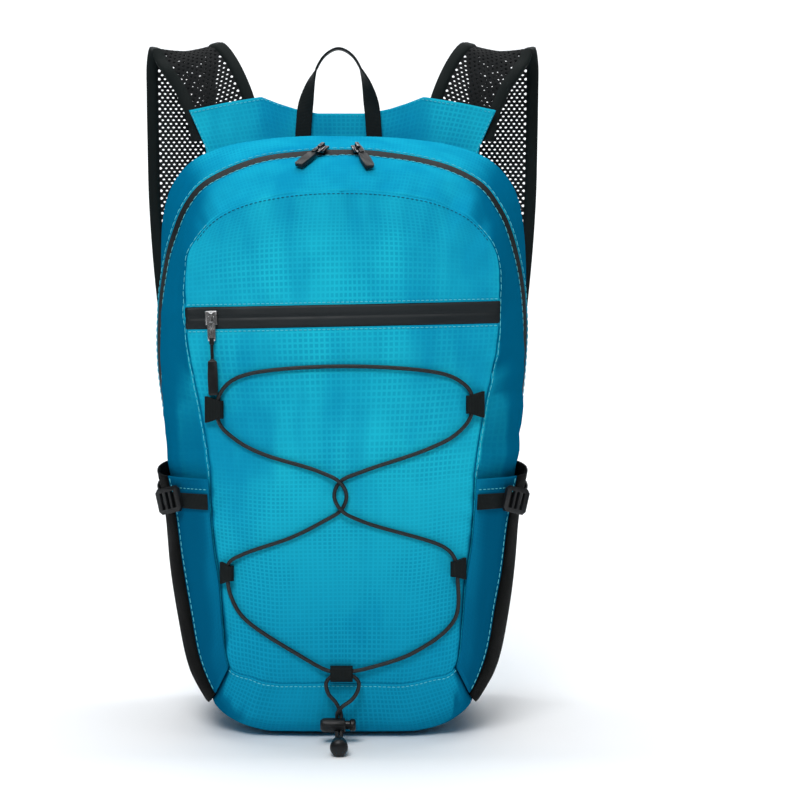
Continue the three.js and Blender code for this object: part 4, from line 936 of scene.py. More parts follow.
def ring_place(u, v):
    station = arch_station(u)
    start = ZIP_PLACE + place_step(abs(station), ZIP_PLACE, zip_room(station))
    return cloth_point(station, mix(start, SEAM_PLACE, v))


ZIP_FROM = (ZIP_END - SIDE_START) / (TOP - SIDE_START) / 2


def zip_place(u, v):
    station = arch_station(mix(ZIP_FROM, 1 - ZIP_FROM, u))
    step = place_step(abs(station), ZIP_PLACE, ZIP_WIDTH / 2 + 0.5)
    return cloth_point(station, ZIP_PLACE + (2 * v - 1) * step)


def base_place(u, v):
    return body_point(mix(-BASE_CORNER, BASE_CORNER, u), mix(0, SEAM_PLACE, v))


# %% Gusset, ring and base
gusset = patch("gusset", 230, 30, rear_place, cloth, BLUE, tuck=(TUCK, 0.5, TUCK, TUCK), relief=folds,
               replaced=("rear_gusset",), ends=0.3)
ring = patch("front_band", 260, 30, ring_place, cloth, BLUE, tuck=(0.5, TUCK, TUCK, TUCK), relief=folds,
             replaced=("front_ring",), ends=0.45)
base = patch("base_cloth", 70, 60, base_place, cloth, BLUE, tuck=(TUCK, TUCK, TUCK, TUCK), relief=folds,
             replaced=("base_panel",), ends=0.3)


def zip_relief(p):
    return folds(p) - 0.7


zip_tape = patch("zip_tape", 420, 8, zip_place, coated, TAPE, wall=0.8, relief=zip_relief,
                 replaced=("main_zip",))
print("body panels:", sum(len(piece.data.polygons) for piece in (gusset, ring, base, zip_tape)), "faces")

# %% [markdown]
# The photograph doesn't show the back panel. It starts as a circle filled with one face, which the
# insets leave whole, and is laid on the body's outline at the back: one flat face with a faint wave
# at its edge and a wall, without a soft crown or a seam.

# %% Back panel
BACK_RINGS = 36
BACK_SPOKES = 160
BACK_CROWN = 1.6
BACK_SINK = 0.4
BACK_WALL = 2.2


def back_place(u, v):
    """Disc: u runs round the outline, v from the middle to the edge."""
    p = Vector((0, BACK_Y, MID_HEIGHT)).lerp(body_point(mix(-TOP, TOP, u), 0), v)
    crown = BACK_CROWN * (1 - v ** 6)
    return Vector((p.x, BACK_Y - BACK_SINK + crown + 0.5 * wave_noise(p.x * 0.02, 1.5, p.z * 0.02), p.z))


def back_out(_):
    return Vector((0, 1, 0))


shape, layer = new_shape()
bmesh.ops.create_circle(shape, segments=BACK_SPOKES, radius=1, cap_ends=True)
for step in range(1, BACK_RINGS):
    inner_face = max(shape.faces, key=lambda face: len(face.verts))
    bmesh.ops.inset_region(shape, faces=[inner_face], thickness=0.9 / BACK_RINGS, use_even_offset=True)
for vert in shape.verts:
    reach = clamp(vert.co.xy.length, 0, 1)
    u = (math.atan2(vert.co.x, vert.co.y) / (2 * math.pi) + 0.5) % 1
    vert.co = back_place(u, reach ** 0.8) * MM
bmesh.ops.recalc_face_normals(shape, faces=shape.faces[:])
face_out(shape, back_out)
map_corners(shape, layer, lambda vert: (vert.co.x, vert.co.z))
back = solidified(finish_piece(shape, "back_cloth", cloth, BLUE, ("back_panel",)), BACK_WALL)
print("back panel:", len(back.data.polygons), "faces")

# %% [markdown]
# ## Front pocket
# The front pocket is cut in two by its coated zip: a rounded top piece, and a long lower piece that
# runs down to the curved seam of the base. Each is filled between its four edges, like a sheet that
# is stretched over a bent frame, and then laid on the crowned front.

# %% Edges of the front pocket
HALVINGS = 40


def seam_point(station):
    return body_point(station, SEAM_PLACE)


def station_at(z, place, top):
    """The station where a place of the section is so high, between the base's corner and top."""
    low, high = BASE_CORNER, top
    for _ in range(HALVINGS):
        middle = (low + high) / 2
        low, high = (middle, high) if body_point(middle, place).z < z else (low, middle)
    return low


def seam_station(z):
    return station_at(z, SEAM_PLACE, TOP)


def band_line(offset):
    """The band's edge between the seams at a distance from its middle line."""
    ends = []
    for side in (-1, 1):
        x = side * 100
        for _ in range(6):
            x = side * seam_point(seam_station(BAND_LEVEL + BAND_TILT * x + offset)).x
        ends.append(x)
    return [Vector((x, 0, BAND_LEVEL + BAND_TILT * x + offset)) for x in ends]


def between(bottom, top, left, right):
    """A place between four edges, each a function of its own share."""
    corners = [bottom(0), bottom(1), top(0), top(1)]

    def place(u, v):
        across = left(v).lerp(right(v), u)
        up = bottom(u).lerp(top(u), v)
        plain = corners[0].lerp(corners[1], u).lerp(corners[2].lerp(corners[3], u), v)
        return across + up - plain
    return place


def filled(*edges):
    place = between(*edges)

    def laid(u, v):
        p = place(u, v)
        return on_front(p.x, p.z)
    return laid


def side_edge(side, low, high):
    return lambda v: seam_point(side * mix(low, high, v))


def straight(ends):
    return lambda u: ends[0].lerp(ends[1], u)


def pocket_arch(u):
    if u <= 0.5:
        return seam_point(-mix(SHOULDER, TOP, 2 * u))
    return seam_point(mix(TOP, SHOULDER, 2 * u - 1))


band_top = band_line(BAND_HEIGHT / 2)
band_bottom = band_line(-BAND_HEIGHT / 2)
upper_place = filled(straight(band_top), pocket_arch,
                     side_edge(-1, seam_station(band_top[0].z), SHOULDER),
                     side_edge(1, seam_station(band_top[1].z), SHOULDER))
lower_place = filled(lambda u: seam_point(mix(-BASE_CORNER, BASE_CORNER, u)), straight(band_bottom),
                     side_edge(-1, BASE_CORNER, seam_station(band_bottom[0].z)),
                     side_edge(1, BASE_CORNER, seam_station(band_bottom[1].z)))
band_place = filled(straight(band_bottom), straight(band_top),
                    side_edge(-1, seam_station(band_bottom[0].z), seam_station(band_top[0].z)),
                    side_edge(1, seam_station(band_bottom[1].z), seam_station(band_top[1].z)))


def front_out(_):
    return Vector((0, -1, 0))


# %% Pocket cloth and its zip band
COIL_ROOM = 1.1
COIL_DEEP = 0.45
BAND_EDGE = 1.4


def band_relief(p):
    middle = p.z - (BAND_LEVEL + BAND_TILT * p.x)
    groove = COIL_DEEP * bell(middle, COIL_ROOM)
    edge = 0.5 * clamp((abs(middle) - BAND_HEIGHT / 2 + BAND_EDGE) / BAND_EDGE, 0, 1)
    return 0.6 * folds(p) - groove - edge - 0.25


def front_patch(name, columns, rows, place, material, slot_name, **more):
    return patch(name, columns, rows, place, material, slot_name, out=front_out, **more)


pocket_top = front_patch("pocket_top", 84, 44, upper_place, cloth, BLUE, tuck=(0.4, TUCK, TUCK, TUCK),
                         relief=folds, replaced=("pocket_upper",), ends=0.3)
pocket_bottom = front_patch("pocket_front", 84, 100, lower_place, cloth, BLUE, tuck=(TUCK, 0.4, TUCK, TUCK),
                            relief=folds, replaced=("pocket_lower",), ends=0.3)
zip_band = front_patch("zip_band", 90, 24, band_place, coated, TAPE, wall=0.9, tuck=(0, 0, 0.6, 0.6),
                       relief=band_relief, replaced=("pocket_zip_band",))
print("front pocket:", [len(piece.data.polygons) for piece in (pocket_top, pocket_bottom, zip_band)], "faces")

# %% [markdown]
# ## Side pockets
# Each side pocket is a black stretch knit that pulls to the body at its seams and stands off in the
# middle, where a bottle goes, with a blue strip of the ripstop at its front. The mouth is a turned
# hem. Knit stretches evenly, so it gets only soft swells and no sharp puckers.

# %% Side pockets
POCKET_MOUTH = 185
POCKET_WALL = 1.3
SEAT = 0.8
POCKET_REAR = 1.3
POCKET_EDGE = 4.1
HEM = 7.5
SIDE_LEVEL = 169


def level_station(place, z):
    return station_at(z, place, SHOULDER)


@functools.lru_cache(maxsize=None)
def mouth_station(place):
    return level_station(place, POCKET_MOUTH)


def pocket_stand(station, place):
    """How far the pocket stands off the body, and the point of the body under it."""
    p = body_point(station, place)
    high = outline_point(abs(station), 1)[1] / BODY_HEIGHT
    full = math.sin(math.pi * clamp((place - POCKET_REAR) / (SEAM_PLACE - POCKET_REAR), 0, 1))
    room = HALF_WIDTH * table_value(POCKET_ROOM, high) * max(0, full) ** 0.6
    return p, POCKET_WALL + SEAT + room


def pocket_place(place, v):
    station = mix(SIDE_START, mouth_station(round(place, 4)), v)
    p, stand = pocket_stand(station, place)
    return p + outwards(p) * stand


def pocket_side(side, start, end):
    def place(u, v):
        p = pocket_place(mix(start, end, u), v)
        return Vector((side * p.x, p.y, p.z))
    return place


def held_share(z):
    """The side webbing holds the pocket's cloth down where it crosses."""
    return clamp(abs(z - SIDE_LEVEL) / 14, 0.1, 1)


def knit_folds(p):
    swell = 1.1 * wave_noise(p.y * 0.02 + 4, p.x * 0.004, p.z * 0.016)
    seamed = 0.5 * bell(p.z - 12, 22) * wave_noise(p.y * 0.12, 2.2, 1.1)
    hem = 0.35 * bell(p.z - POCKET_MOUTH + HEM, 1.2)
    below_hem = clamp((POCKET_MOUTH - p.z) / 20, 0.2, 1)
    return clamp(swell + seamed, -0.35, 1.2) * below_hem * held_share(p.z) - hem


def strip_folds(p):
    pucker = 0.5 * wave_noise(p.x * 0.08, p.y * 0.03, p.z * 0.03)
    hem = 0.3 * bell(p.z - POCKET_MOUTH + HEM, 1.0)
    return clamp(pucker, -0.3, 0.6) * held_share(p.z) - hem


for tag, side in SIDES:
    for piece, node, columns, start, end, material, slot_name, relief in (
            ("side_knit", "side_pocket_mesh", 60, POCKET_REAR, POCKET_EDGE, knit, KNIT, knit_folds),
            ("side_strip", "side_pocket_panel", 30, POCKET_EDGE, SEAM_PLACE - 0.02, shaded_side_cloth, BLUE,
             strip_folds)):
        patch(f"{piece}_{tag}", columns, 90, pocket_side(side, start, end), material, slot_name, wall=1.1,
              tuck=(0.5, 0, 0.5, 0.5), relief=relief, replaced=(f"{node}_{tag}",), ends=0.2)
print("side pockets: hem at", POCKET_MOUTH, "mm")

# %% [markdown]
# ## Yoke, straps and handle
# The shoulder straps are spacer mesh: two open knits with air between them. Its holes show the light
# behind, so they are real holes here: bricks in a flat grid, pushed into hexagons and inset, with the
# middles taken out. One net stands for both knits, and is then carried round the strap's path. A
# bound edge is a rounded band.

# %% Yoke
YOKE = [(0.700, 0.880), (0.765, 0.985), (0.855, 1.050), (0.660, 1.063), (0.452, 1.074), (0.360, 1.0625),
        (0.262, 1.0525), (0.140, 1.0445)]
YOKE_THICK = 2
YOKE_WALL = 1.8
YOKE_Y = BACK_Y + GAP + YOKE_THICK


def chain(points):
    """Straight runs through points, read by share of length."""
    runs = [0.0]
    for a, b in zip(points, points[1:]):
        runs.append(runs[-1] + (b - a).length)

    def at(share):
        wanted = clamp(share, 0, 1) * runs[-1]
        i = max(k for k in range(len(points) - 1) if runs[k] <= wanted + 1e-9)
        return points[i].lerp(points[i + 1], clamp((wanted - runs[i]) / (runs[i + 1] - runs[i]), 0, 1))
    return at


yoke_right = [Vector((out * HALF_WIDTH, YOKE_Y, high * BODY_HEIGHT)) for out, high in YOKE]
yoke_left = [Vector((-p.x, p.y, p.z)) for p in yoke_right]
yoke_place = between(straight([yoke_left[0], yoke_right[0]]),
                     chain(yoke_left[2:] + yoke_right[:1:-1]), chain(yoke_left[:3]), chain(yoke_right[:3]))


def yoke_folds(p):
    return clamp(0.8 * wave_noise(p.x * 0.03, 2.5, p.z * 0.05), -0.5, 0.5)


patch("yoke_cloth", 110, 34, yoke_place, cloth, BLUE, wall=YOKE_WALL, tuck=(0, 0.5, 0.5, 0.5),
      relief=yoke_folds, out=back_out, replaced=("yoke",))

# %% Shoulder straps
STRAP_WIDTH = 55
STRAP_THICK = 4
BINDING = 9
STRAP_TURN = 0.19
STRAP_TURN_END = 2.7
STRAP_LINE = [(0.648, 4.6, 1.010), (0.690, 9.6, 1.062), (0.775, 18.0, 1.120), (0.850, 26.0, 1.150),
              (0.895, 36.0, 1.162), (0.920, 46.0, 1.139), (0.925, 51.0, 1.090), (0.925, 55.0, 1.000),
              (0.920, 56.0, 0.900), (0.900, 54.0, 0.800), (0.865, 49.0, 0.690), (0.825, 42.0, 0.580)]
STRAP_ENDS = (1 / 16, 15 / 16)
strap_path = Path([Vector((out * HALF_WIDTH, BACK_Y + back_by, high * BODY_HEIGHT))
                   for out, back_by, high in STRAP_LINE])


def strap_across(share):
    way = strap_path.way(share)
    across = Vector((1, 0, -STRAP_TURN * max(0, 1 - share * STRAP_TURN_END)))
    return (across - way * across.dot(way)).normalized()


def on_strap(share, across):
    return strap_path.at(share) + strap_across(share) * across


def strap_section(share, offset, width, thick, crown):
    across = strap_across(share)
    out = strap_path.way(share).cross(across)
    return flat_ring(on_strap(share, offset), across, out, width, thick, crown)


CELL_WIDE = 4.4
CELL_HIGH = 2.9
YARN = 1.95
YARN_THICK = 0.9
POINTED = 0.36
net_wide = STRAP_WIDTH - 2 * BINDING + 1.5
net_long = (STRAP_ENDS[1] - STRAP_ENDS[0]) * strap_path.length
cells = round(net_wide / CELL_WIDE)
net_rows = round(net_long / CELL_HIGH)


def strap_net(tag, side):
    shape, layer = new_shape()
    bmesh.ops.create_grid(shape, x_segments=2 * cells, y_segments=net_rows, size=0.5)

    def column_row(co):
        return round((co.x + 0.5) * 2 * cells), round((co.y + 0.5) * net_rows)

    crossing = []
    for edge in shape.edges:
        (k, i), (m, j) = (column_row(vert.co) for vert in edge.verts)
        if k == m and 0 < k < 2 * cells and (k + min(i, j)) % 2:
            crossing.append(edge)
    for vert in shape.verts:
        k, i = column_row(vert.co)
        push = POINTED * (-1 if (k + i) % 2 else 1) if 0 < i < net_rows and 0 < k < 2 * cells else 0
        vert.co = ((k / (2 * cells) - 0.5) * net_wide, (i + push) * net_long / net_rows, 0)
    bmesh.ops.dissolve_edges(shape, edges=crossing, use_verts=False, use_face_split=False)
    bmesh.ops.inset_individual(shape, faces=shape.faces[:], thickness=YARN / 2, use_even_offset=True)
    holes = [face for face in shape.faces if len(face.verts) >= 4
             and all(len(edge.link_faces) == 2 for edge in face.edges)
             and all(len(vert.link_edges) == 3 for vert in face.verts)]
    bmesh.ops.delete(shape, geom=holes, context="FACES")
    map_corners(shape, layer, lambda vert: (vert.co.x * MM, vert.co.y * MM))
    for vert in shape.verts:
        p = on_strap(STRAP_ENDS[0] + vert.co.y / strap_path.length, vert.co.x)
        vert.co = Vector((side * p.x, p.y, p.z)) * MM
    if side < 0:
        bmesh.ops.reverse_faces(shape, faces=shape.faces[:])
    net = finish_piece(shape, f"strap_net_{tag}", net_yarn, NET, (f"strap_mesh_{tag}",))
    return solidified(subdivided(net, 1), YARN_THICK, 0)


EDGE_THICK = STRAP_THICK - 0.8
END_WIDTH = STRAP_WIDTH - 1.2
END_THICK = STRAP_THICK - 0.9
for tag, side in SIDES:
    strap_net(tag, side)
    for label, edge, replaced in (("in", -1, ()), ("out", 1, (f"strap_binding_{tag}",))):
        offset = edge * (STRAP_WIDTH - BINDING) / 2
        rings = [strap_section(share, offset, BINDING, EDGE_THICK, 0.5) for share in shares(90)]
        band(f"strap_edge_{tag}_{label}", on_side(side, rings), tape_weave, BINDING_SLOT, replaced)
    for label, low, high in (("top", 0.0, STRAP_ENDS[0]), ("foot", STRAP_ENDS[1], 1.0)):
        rings = [strap_section(mix(low, high, s), 0, END_WIDTH, END_THICK, 0.3) for s in shares(10)]
        band(f"strap_{label}_{tag}", on_side(side, rings), tape_weave, BINDING_SLOT)
print("strap:", round(strap_path.length), "mm long,", cells, "x", net_rows, "cells")

# %% Grab handle
HANDLE_WEB = 12
WEB_THICK = 1.5
HANDLE_SPAN = 55.4
HANDLE_RISE = 75
HANDLE_SHIFT = -3
HANDLE_FOOT = 0.9832
HANDLE_ARCH = [(1.00, 0.00, 0), (0.97, 0.20, 0), (0.90, 0.45, 0), (0.70, 0.72, -1), (0.38, 0.93, -1.5),
               (0.00, 1.00, -1.5)]


def handle_side(sign):
    return [Vector((HANDLE_SHIFT + sign * out * HANDLE_SPAN / 2, BACK_Y - WEB_THICK - 1 + back_by,
                    BODY_HEIGHT * HANDLE_FOOT + rise * HANDLE_RISE)) for out, rise, back_by in HANDLE_ARCH]


handle_path = Path(handle_side(-1) + handle_side(1)[-2::-1])


def handle_across(share):
    twist = (math.pi / 2) * clamp((0.5 - abs(share - 0.5) - 0.16) / 0.2, 0, 1)
    return Vector((math.cos(twist), -math.sin(twist), 0))


band("handle_web", strap_rings(handle_path, handle_across, HANDLE_WEB, WEB_THICK, shares(120)), webbing,
     WEBBING_SLOT, ("grab_handle",))

# %% [markdown]
# ## Webbing and adjusters
# The lower webbing weaves through its ladder lock: behind the lower bar, over the middle one and back
# out at the top, and its friction there is all that holds the strap's length. The moulded pieces are
# the measured solids with their corners rounded, since a mould never leaves a sharp edge.

# %% Strap webbing
WEBBING = 20
LOCK_HEIGHT = 25
LOCK_THICK = 3.5
LOCK_SLOT = 6.4
LOCK_BAR = 3
TAB_HIGH = 0.155
TAB_OUT = 0.60
TAB_LENGTH = 24

WEAVE_ROOM = 0.6
PASSED = 0.7  # the share of the path where the webbing reaches the ladder lock

strap_end = strap_path.at(1)
down = (strap_end - strap_path.at(0.998)).normalized()
forward = Vector((1, 0, 0)).cross(down).normalized()
lock_across = down.cross(forward)
lock_middle = strap_end + down * (GAP + LOCK_HEIGHT / 2)
tab = Vector((TAB_OUT * HALF_WIDTH, BACK_Y + GAP + WEB_THICK, TAB_HIGH * BODY_HEIGHT))
off = LOCK_THICK / 2 + WEB_THICK / 2 + WEAVE_ROOM
bar = LOCK_BAR / 2 + WEAVE_ROOM
slot_end = LOCK_BAR / 2 + LOCK_SLOT
weave_line = [(-slot_end - 5, off), (-slot_end + 1.6, off * 0.92), (-slot_end + 3.2, 0),
              (-bar, -off * 0.98), (bar, -off * 0.98),
              (slot_end - 3.2, 0), (slot_end - 1.6, off * 0.92), (slot_end + 7, off + 0.5)]
woven = [lock_middle + forward * y - down * z for z, y in weave_line]
start = tab + Vector((0, WEB_THICK + 0.2, TAB_LENGTH / 2))
halfway = woven[0].lerp(tab, 0.5) + Vector((0, 3, 0))
webbing_path = Path([start, start + Vector((0, 1.4, 14)), halfway, *woven], 1200)
webbing_steps = [PASSED * s for s in shares(40)] + [mix(PASSED + 0.003, 1, s) for s in shares(80)]
webbing_rings = strap_rings(webbing_path, lambda share: lock_across.copy(), WEBBING, WEB_THICK - 0.1,
                            webbing_steps)
tab_rings = [flat_ring(tab + Vector((0, 0.1 - WEB_THICK / 2, (s - 0.5) * TAB_LENGTH)), Vector((1, 0, 0)),
                       Vector((0, 1, 0)), mix(WEBBING + 9, WEBBING + 4, s), WEB_THICK, 0.2)
             for s in shares(10)]
for tag, side in SIDES:
    band(f"strap_web_{tag}", on_side(side, webbing_rings), webbing, WEBBING_SLOT, (f"strap_webbing_{tag}",))
    band(f"corner_tab_{tag}", on_side(side, tab_rings), cloth, BLUE, (f"lower_tab_{tag}",))
    refined(f"ladder_{tag}", f"ladder_lock_{tag}", plastic, PLASTIC, 0.8, segments=3)
print("strap webbing:", round(webbing_path.length), "mm")

# %% Side compression straps
SIDE_WEB = 11
SIDE_LIFT = GAP + 0.6 + WEB_THICK / 2


def on_pocket(place, z, lift):
    def at(level):
        p, stand = pocket_stand(level_station(place, level), place)
        return p + outwards(p) * stand
    up = (at(z + 4) - at(z - 4)).normalized()
    away = outwards(at(z))
    away = (away - up * away.dot(up)).normalized()
    return at(z) + away * lift, away, up


side_rings = []
for share in shares(70):
    p, away, up = on_pocket(mix(4.93, 1.4, share), SIDE_LEVEL, SIDE_LIFT)
    side_rings.append(flat_ring(p, up, away, SIDE_WEB, WEB_THICK - 0.4))
for tag, side in SIDES:
    band(f"side_web_{tag}", on_side(side, side_rings), webbing, WEBBING_SLOT, (f"compression_webbing_{tag}",))
    refined(f"side_buckle_{tag}", f"compression_buckle_{tag}", plastic, PLASTIC, 0.9, segments=3)

# %% [markdown]
# ## Zip pulls, cord and cord lock
# Rings and links are bent wire, so their few-sided solids are subdivided to round wire. The cord is
# a tube of ten sides with the braid on its UV map. Its free end is a bell-shaped moulding, which is
# turned: a profile spun once round its axis.

# %% Pulls
for tag in ("L", "R"):
    refined(f"slider_{tag}", f"main_slider_{tag}", dark_metal, DARK_METAL, 0.35)
    refined(f"pull_{tag}", f"main_pull_{tag}", plastic, PLASTIC, 0.9, segments=4)
refined("pocket_zip_slider", "pocket_slider", satin_metal, SILVER, 0.7, segments=3)
refined("pocket_zip_pull", "pocket_pull", plastic, PLASTIC, 1.5, segments=4)
for name, node, material, slot_name in (("ring_L", "main_ring_L", dark_metal, DARK_METAL),
                                        ("ring_R", "main_ring_R", dark_metal, DARK_METAL),
                                        ("link_wire", "pocket_link", silver, SILVER)):
    subdivided(refined(name, node, material, slot_name, 0), 2)

# %% Cord loops
LOOP_TALL = CORD + 2 * LOOP_ROOM + 2 * LOOP_WEB
THIN_END = 1.5
LOOP_SLACK = 1.7
LOOP_TAPER = 0.34


def loop_piece(tag):
    """A tab of webbing folded over the cord: round where the cord runs, thin where it is sewn in."""
    x, z, long, deep = LOOPS[tag]
    middle = on_front(x, z)
    rise = (on_front(x, z + long / 2) - on_front(x, z - long / 2)).normalized()
    across = (on_front(x + deep / 2, z) - on_front(x - deep / 2, z)).normalized()
    away = across.cross(rise).normalized()
    across = rise.cross(away)
    centre = middle + away * (GAP + LOOP_TALL / 2 + 0.15)
    run = rise
    if tag == "B":
        across, run = rise, across
    round_end = LOOP_TALL / 2
    if tag == "B":
        ends = ((-deep / 2 + round_end, round_end, 0.0), (deep / 2 - round_end, round_end, 0.0))
    else:
        inward = -1 if x > 0 else 1
        nearest = min(lacing_points, key=lambda p: (p - centre).length)
        at = (nearest - centre).dot(across) + inward * LOOP_SLACK
        thin = (-inward * (deep / 2 - THIN_END), THIN_END, -LOOP_TALL / 2 + THIN_END)
        ends = tuple(sorted((thin, (at, round_end - 0.1, 0.0))))
    (low_x, low_r, low_y), (high_x, high_r, high_y) = ends

    def outline(u):
        quarter = (u * 4) % 4
        if quarter < 1:
            turn = mix(-0.5, 0.5, quarter) * math.pi
            return high_x + high_r * math.cos(turn), high_y + high_r * math.sin(turn)
        if quarter < 2:
            s = quarter - 1
            return mix(high_x, low_x, s), mix(high_y + high_r, low_y + low_r, s)
        if quarter < 3:
            turn = mix(0.5, 1.5, quarter - 2) * math.pi
            return low_x + low_r * math.cos(turn), low_y + low_r * math.sin(turn)
        s = quarter - 3
        return mix(low_x, high_x, s), mix(low_y - low_r, high_y - high_r, s)

    def place(u, v):
        a, b = outline(u + 0.875)
        drawn_in = 0 if tag == "B" else LOOP_TAPER * clamp((a - thin[0]) / (at - thin[0]), 0, 1)
        return centre + across * a + away * b + run * ((v - 0.5) * long * (1.08 - drawn_in))

    def radial(p):
        spot = p - centre
        return spot - run * spot.dot(run) - across * (low_x + high_x) / 2

    shape, layer = new_shape()
    bmesh.ops.create_grid(shape, x_segments=48, y_segments=10, size=0.5)
    girth = line_length([place(u, 0.5) for u in shares(60)])
    spots = {}
    for vert in shape.verts:
        u, v = vert.co.x + 0.5, vert.co.y + 0.5
        spots[vert] = (u * girth * MM, v * long * MM)
        vert.co = place(u, v) * MM
    map_corners(shape, layer, spots.get)
    bmesh.ops.remove_doubles(shape, verts=shape.verts[:], dist=2 * WELD * MM)
    face_out(shape, radial)
    piece = finish_piece(shape, f"loop_{tag}", webbing, WEBBING_SLOT, (f"cord_loop_{tag}",))
    return solidified(piece, LOOP_WEB - 0.1)


for tag in LOOPS:
    loop_piece(tag)

# %% Cord end and lock
END_LONG = 18.7
END_NARROW = 5.3
END_WIDE = 6.25
END_TILT = math.atan2(END_WIDE - END_NARROW, END_LONG * 0.8)
profile = [(0, 0.0), (0, END_NARROW * 0.80), (0.5, END_NARROW * 0.95), (1.2, END_NARROW),
           (2.6, END_NARROW * 0.96), (3.2, END_NARROW)]
profile += [(END_LONG * along, END_WIDE * out) for along, out in (
    (0.4, 0.92), (0.6, 0.97), (0.78, 1.0), (0.88, 0.93), (0.95, 0.74), (0.99, 0.42), (1.0, 0.0))]
shape = bmesh.new()
line = [shape.verts.new((r * MM, 0, x * MM)) for x, r in profile]
edges = [shape.edges.new(pair) for pair in zip(line, line[1:])]
bmesh.ops.spin(shape, geom=line + edges, cent=(0, 0, 0), axis=(0, 0, 1), dvec=(0, 0, 0), angle=2 * math.pi,
               steps=40, use_merge=True)
bmesh.ops.remove_doubles(shape, verts=shape.verts[:], dist=2 * WELD * MM)
bmesh.ops.recalc_face_normals(shape, faces=shape.faces[:])
axis = Vector((0, -math.cos(END_TILT), math.sin(END_TILT)))
turn = Matrix((Vector((1, 0, 0)), axis.cross(Vector((1, 0, 0))), axis)).transposed()
spot = ahead(LOCK_AT[0], END_AT + GAP, END_NARROW + 0.15)
bmesh.ops.transform(shape, matrix=Matrix.Translation(spot * MM) @ turn.to_4x4(), verts=shape.verts[:])
cord_end = finish_piece(shape, "bell_end", plastic, PLASTIC, ("cord_end",), sharp=math.radians(60))
barrel = refined("lock_barrel", "cord_lock_barrel", plastic, PLASTIC, 0.5, segments=3)
button = refined("lock_button", "cord_lock_plunger", plastic, PLASTIC, 0.45, body=PLUNGER, segments=3)

# %% The cords themselves
lacing = band("lacing_cord", tube_rings(lacing_points, CORD / 2), braid, CORD_SLOT, ("cord_lacing",),
              sharp=None)
round(line_length(lacing_points) * MM, 3)
for tag, points in tail_points.items():
    strand = band(f"strand_{tag}", tube_rings(points, CORD / 2), braid, CORD_SLOT, (f"cord_tail_{tag}",),
                  sharp=None)
    round(line_length(points) * MM, 3)
print("cord pieces done")

# %% [markdown]
# ## Stitching
# Thread stands a little proud of the cloth and catches the light, so the stitches are separate small
# bodies in a row, not a drawn line. One low sphere of twenty faces, stretched, is enough for each.

# %% Stitch rows
FINE_ROW = {"long": 5.0, "gap": 0.12}
ZIP_STITCH = ZIP_WIDTH / 2 + 1.0
SEAM_STITCH = 1.3
SIDE_SEAM_LEVELS = (186, 362)
ARCH_LEVEL = 352
ARCH_STITCH = 1.6
BAND_STITCH = 1.6
BAND_STITCH_IN = 1.5
BASE_STITCH = 1.8
YOKE_STITCH = 2


def stitch_row(name, points, outs, material, long=2.8, gap=0.45, thick=0.62, lift=0.2):
    path = Path(points, max(200, 6 * len(points)))
    shape = bmesh.new()
    count = max(2, int(path.length / (long + gap)))
    for k in range(count):
        share = (k + 0.5) / count
        way = path.way(share)
        away = outs(path.at(share))
        away = (away - way * away.dot(way)).normalized()
        side = way.cross(away)
        stretch = Matrix((way * long / 2, side * thick / 2, away * thick / 2.4)).transposed().to_4x4() * MM
        stretch[3][3] = 1
        stretch.translation = (path.at(share) + away * lift) * MM
        bmesh.ops.create_icosphere(shape, subdivisions=1, radius=1, matrix=stretch)
    return finish_piece(shape, name, material, BLUE)


def draped(p):
    return p + outwards(p) * folds(p)


def along_arch(place_at, low, high, count=160):
    return [draped(place_at(arch_station(mix(low, high, s)))) for s in shares(count)]


def beside(place, millimetres):
    return lambda station: cloth_point(station, place + place_step(abs(station), place, 1.0) * millimetres)


# Beside the zip the rows are almost unbroken: stitches, and a painted highlight on the folded cloth edges.
for label, offset, lift in (("rear", -ZIP_STITCH, -0.1), ("front", ZIP_STITCH, 0.2)):
    stitch_row(f"stitch_zip_{label}", along_arch(beside(ZIP_PLACE, offset), ZIP_FROM, 1 - ZIP_FROM),
               outwards, thread_and_highlight, thick=0.7, lift=lift, **FINE_ROW)


def arch_share(z):
    return (seam_station(z) - SIDE_START) / (TOP - SIDE_START) / 2


seam_low, seam_high = (arch_share(z) for z in SIDE_SEAM_LEVELS)
for tag, ends in (("R", (seam_low, seam_high)), ("L", (1 - seam_low, 1 - seam_high))):
    stitch_row(f"stitch_seam_{tag}", along_arch(beside(SEAM_PLACE, -SEAM_STITCH), *ends, count=60),
               outwards, thread_and_highlight, thick=0.5, lift=0.1, **FINE_ROW)


def front_line(places):
    return [Vector((p.x, p.y - folds(p), p.z)) for p in places]


def towards_middle(p, millimetres):
    way = Vector((-p.x, 0, MID_HEIGHT - p.z)).normalized()
    return on_front(p.x + way.x * millimetres, p.z + way.z * millimetres)


arch_start = arch_share(ARCH_LEVEL)
arch_stations = [arch_station(mix(arch_start, 1 - arch_start, s)) for s in shares(120)]
arch_points = [towards_middle(seam_point(station), ARCH_STITCH) for station in arch_stations]
stitch_row("stitch_arch", front_line(arch_points), front_out, deep_thread)
for label, ends, offset in (("over", band_top, BAND_STITCH), ("under", band_bottom, -BAND_STITCH)):
    places = [on_front(mix(ends[0].x + BAND_STITCH_IN, ends[1].x - BAND_STITCH_IN, s),
                       mix(ends[0].z, ends[1].z, s) + offset) for s in shares(80)]
    stitch_row(f"stitch_band_{label}", front_line(places), front_out, thread_and_highlight)
base_points = [beside(SEAM_PLACE, -BASE_STITCH)(mix(-BASE_CORNER, BASE_CORNER, s)) for s in shares(80)]
stitch_row("stitch_base", [draped(p) for p in base_points], outwards, thread_and_highlight)


def on_strip(p):
    return p + outwards(p) * strip_folds(p)


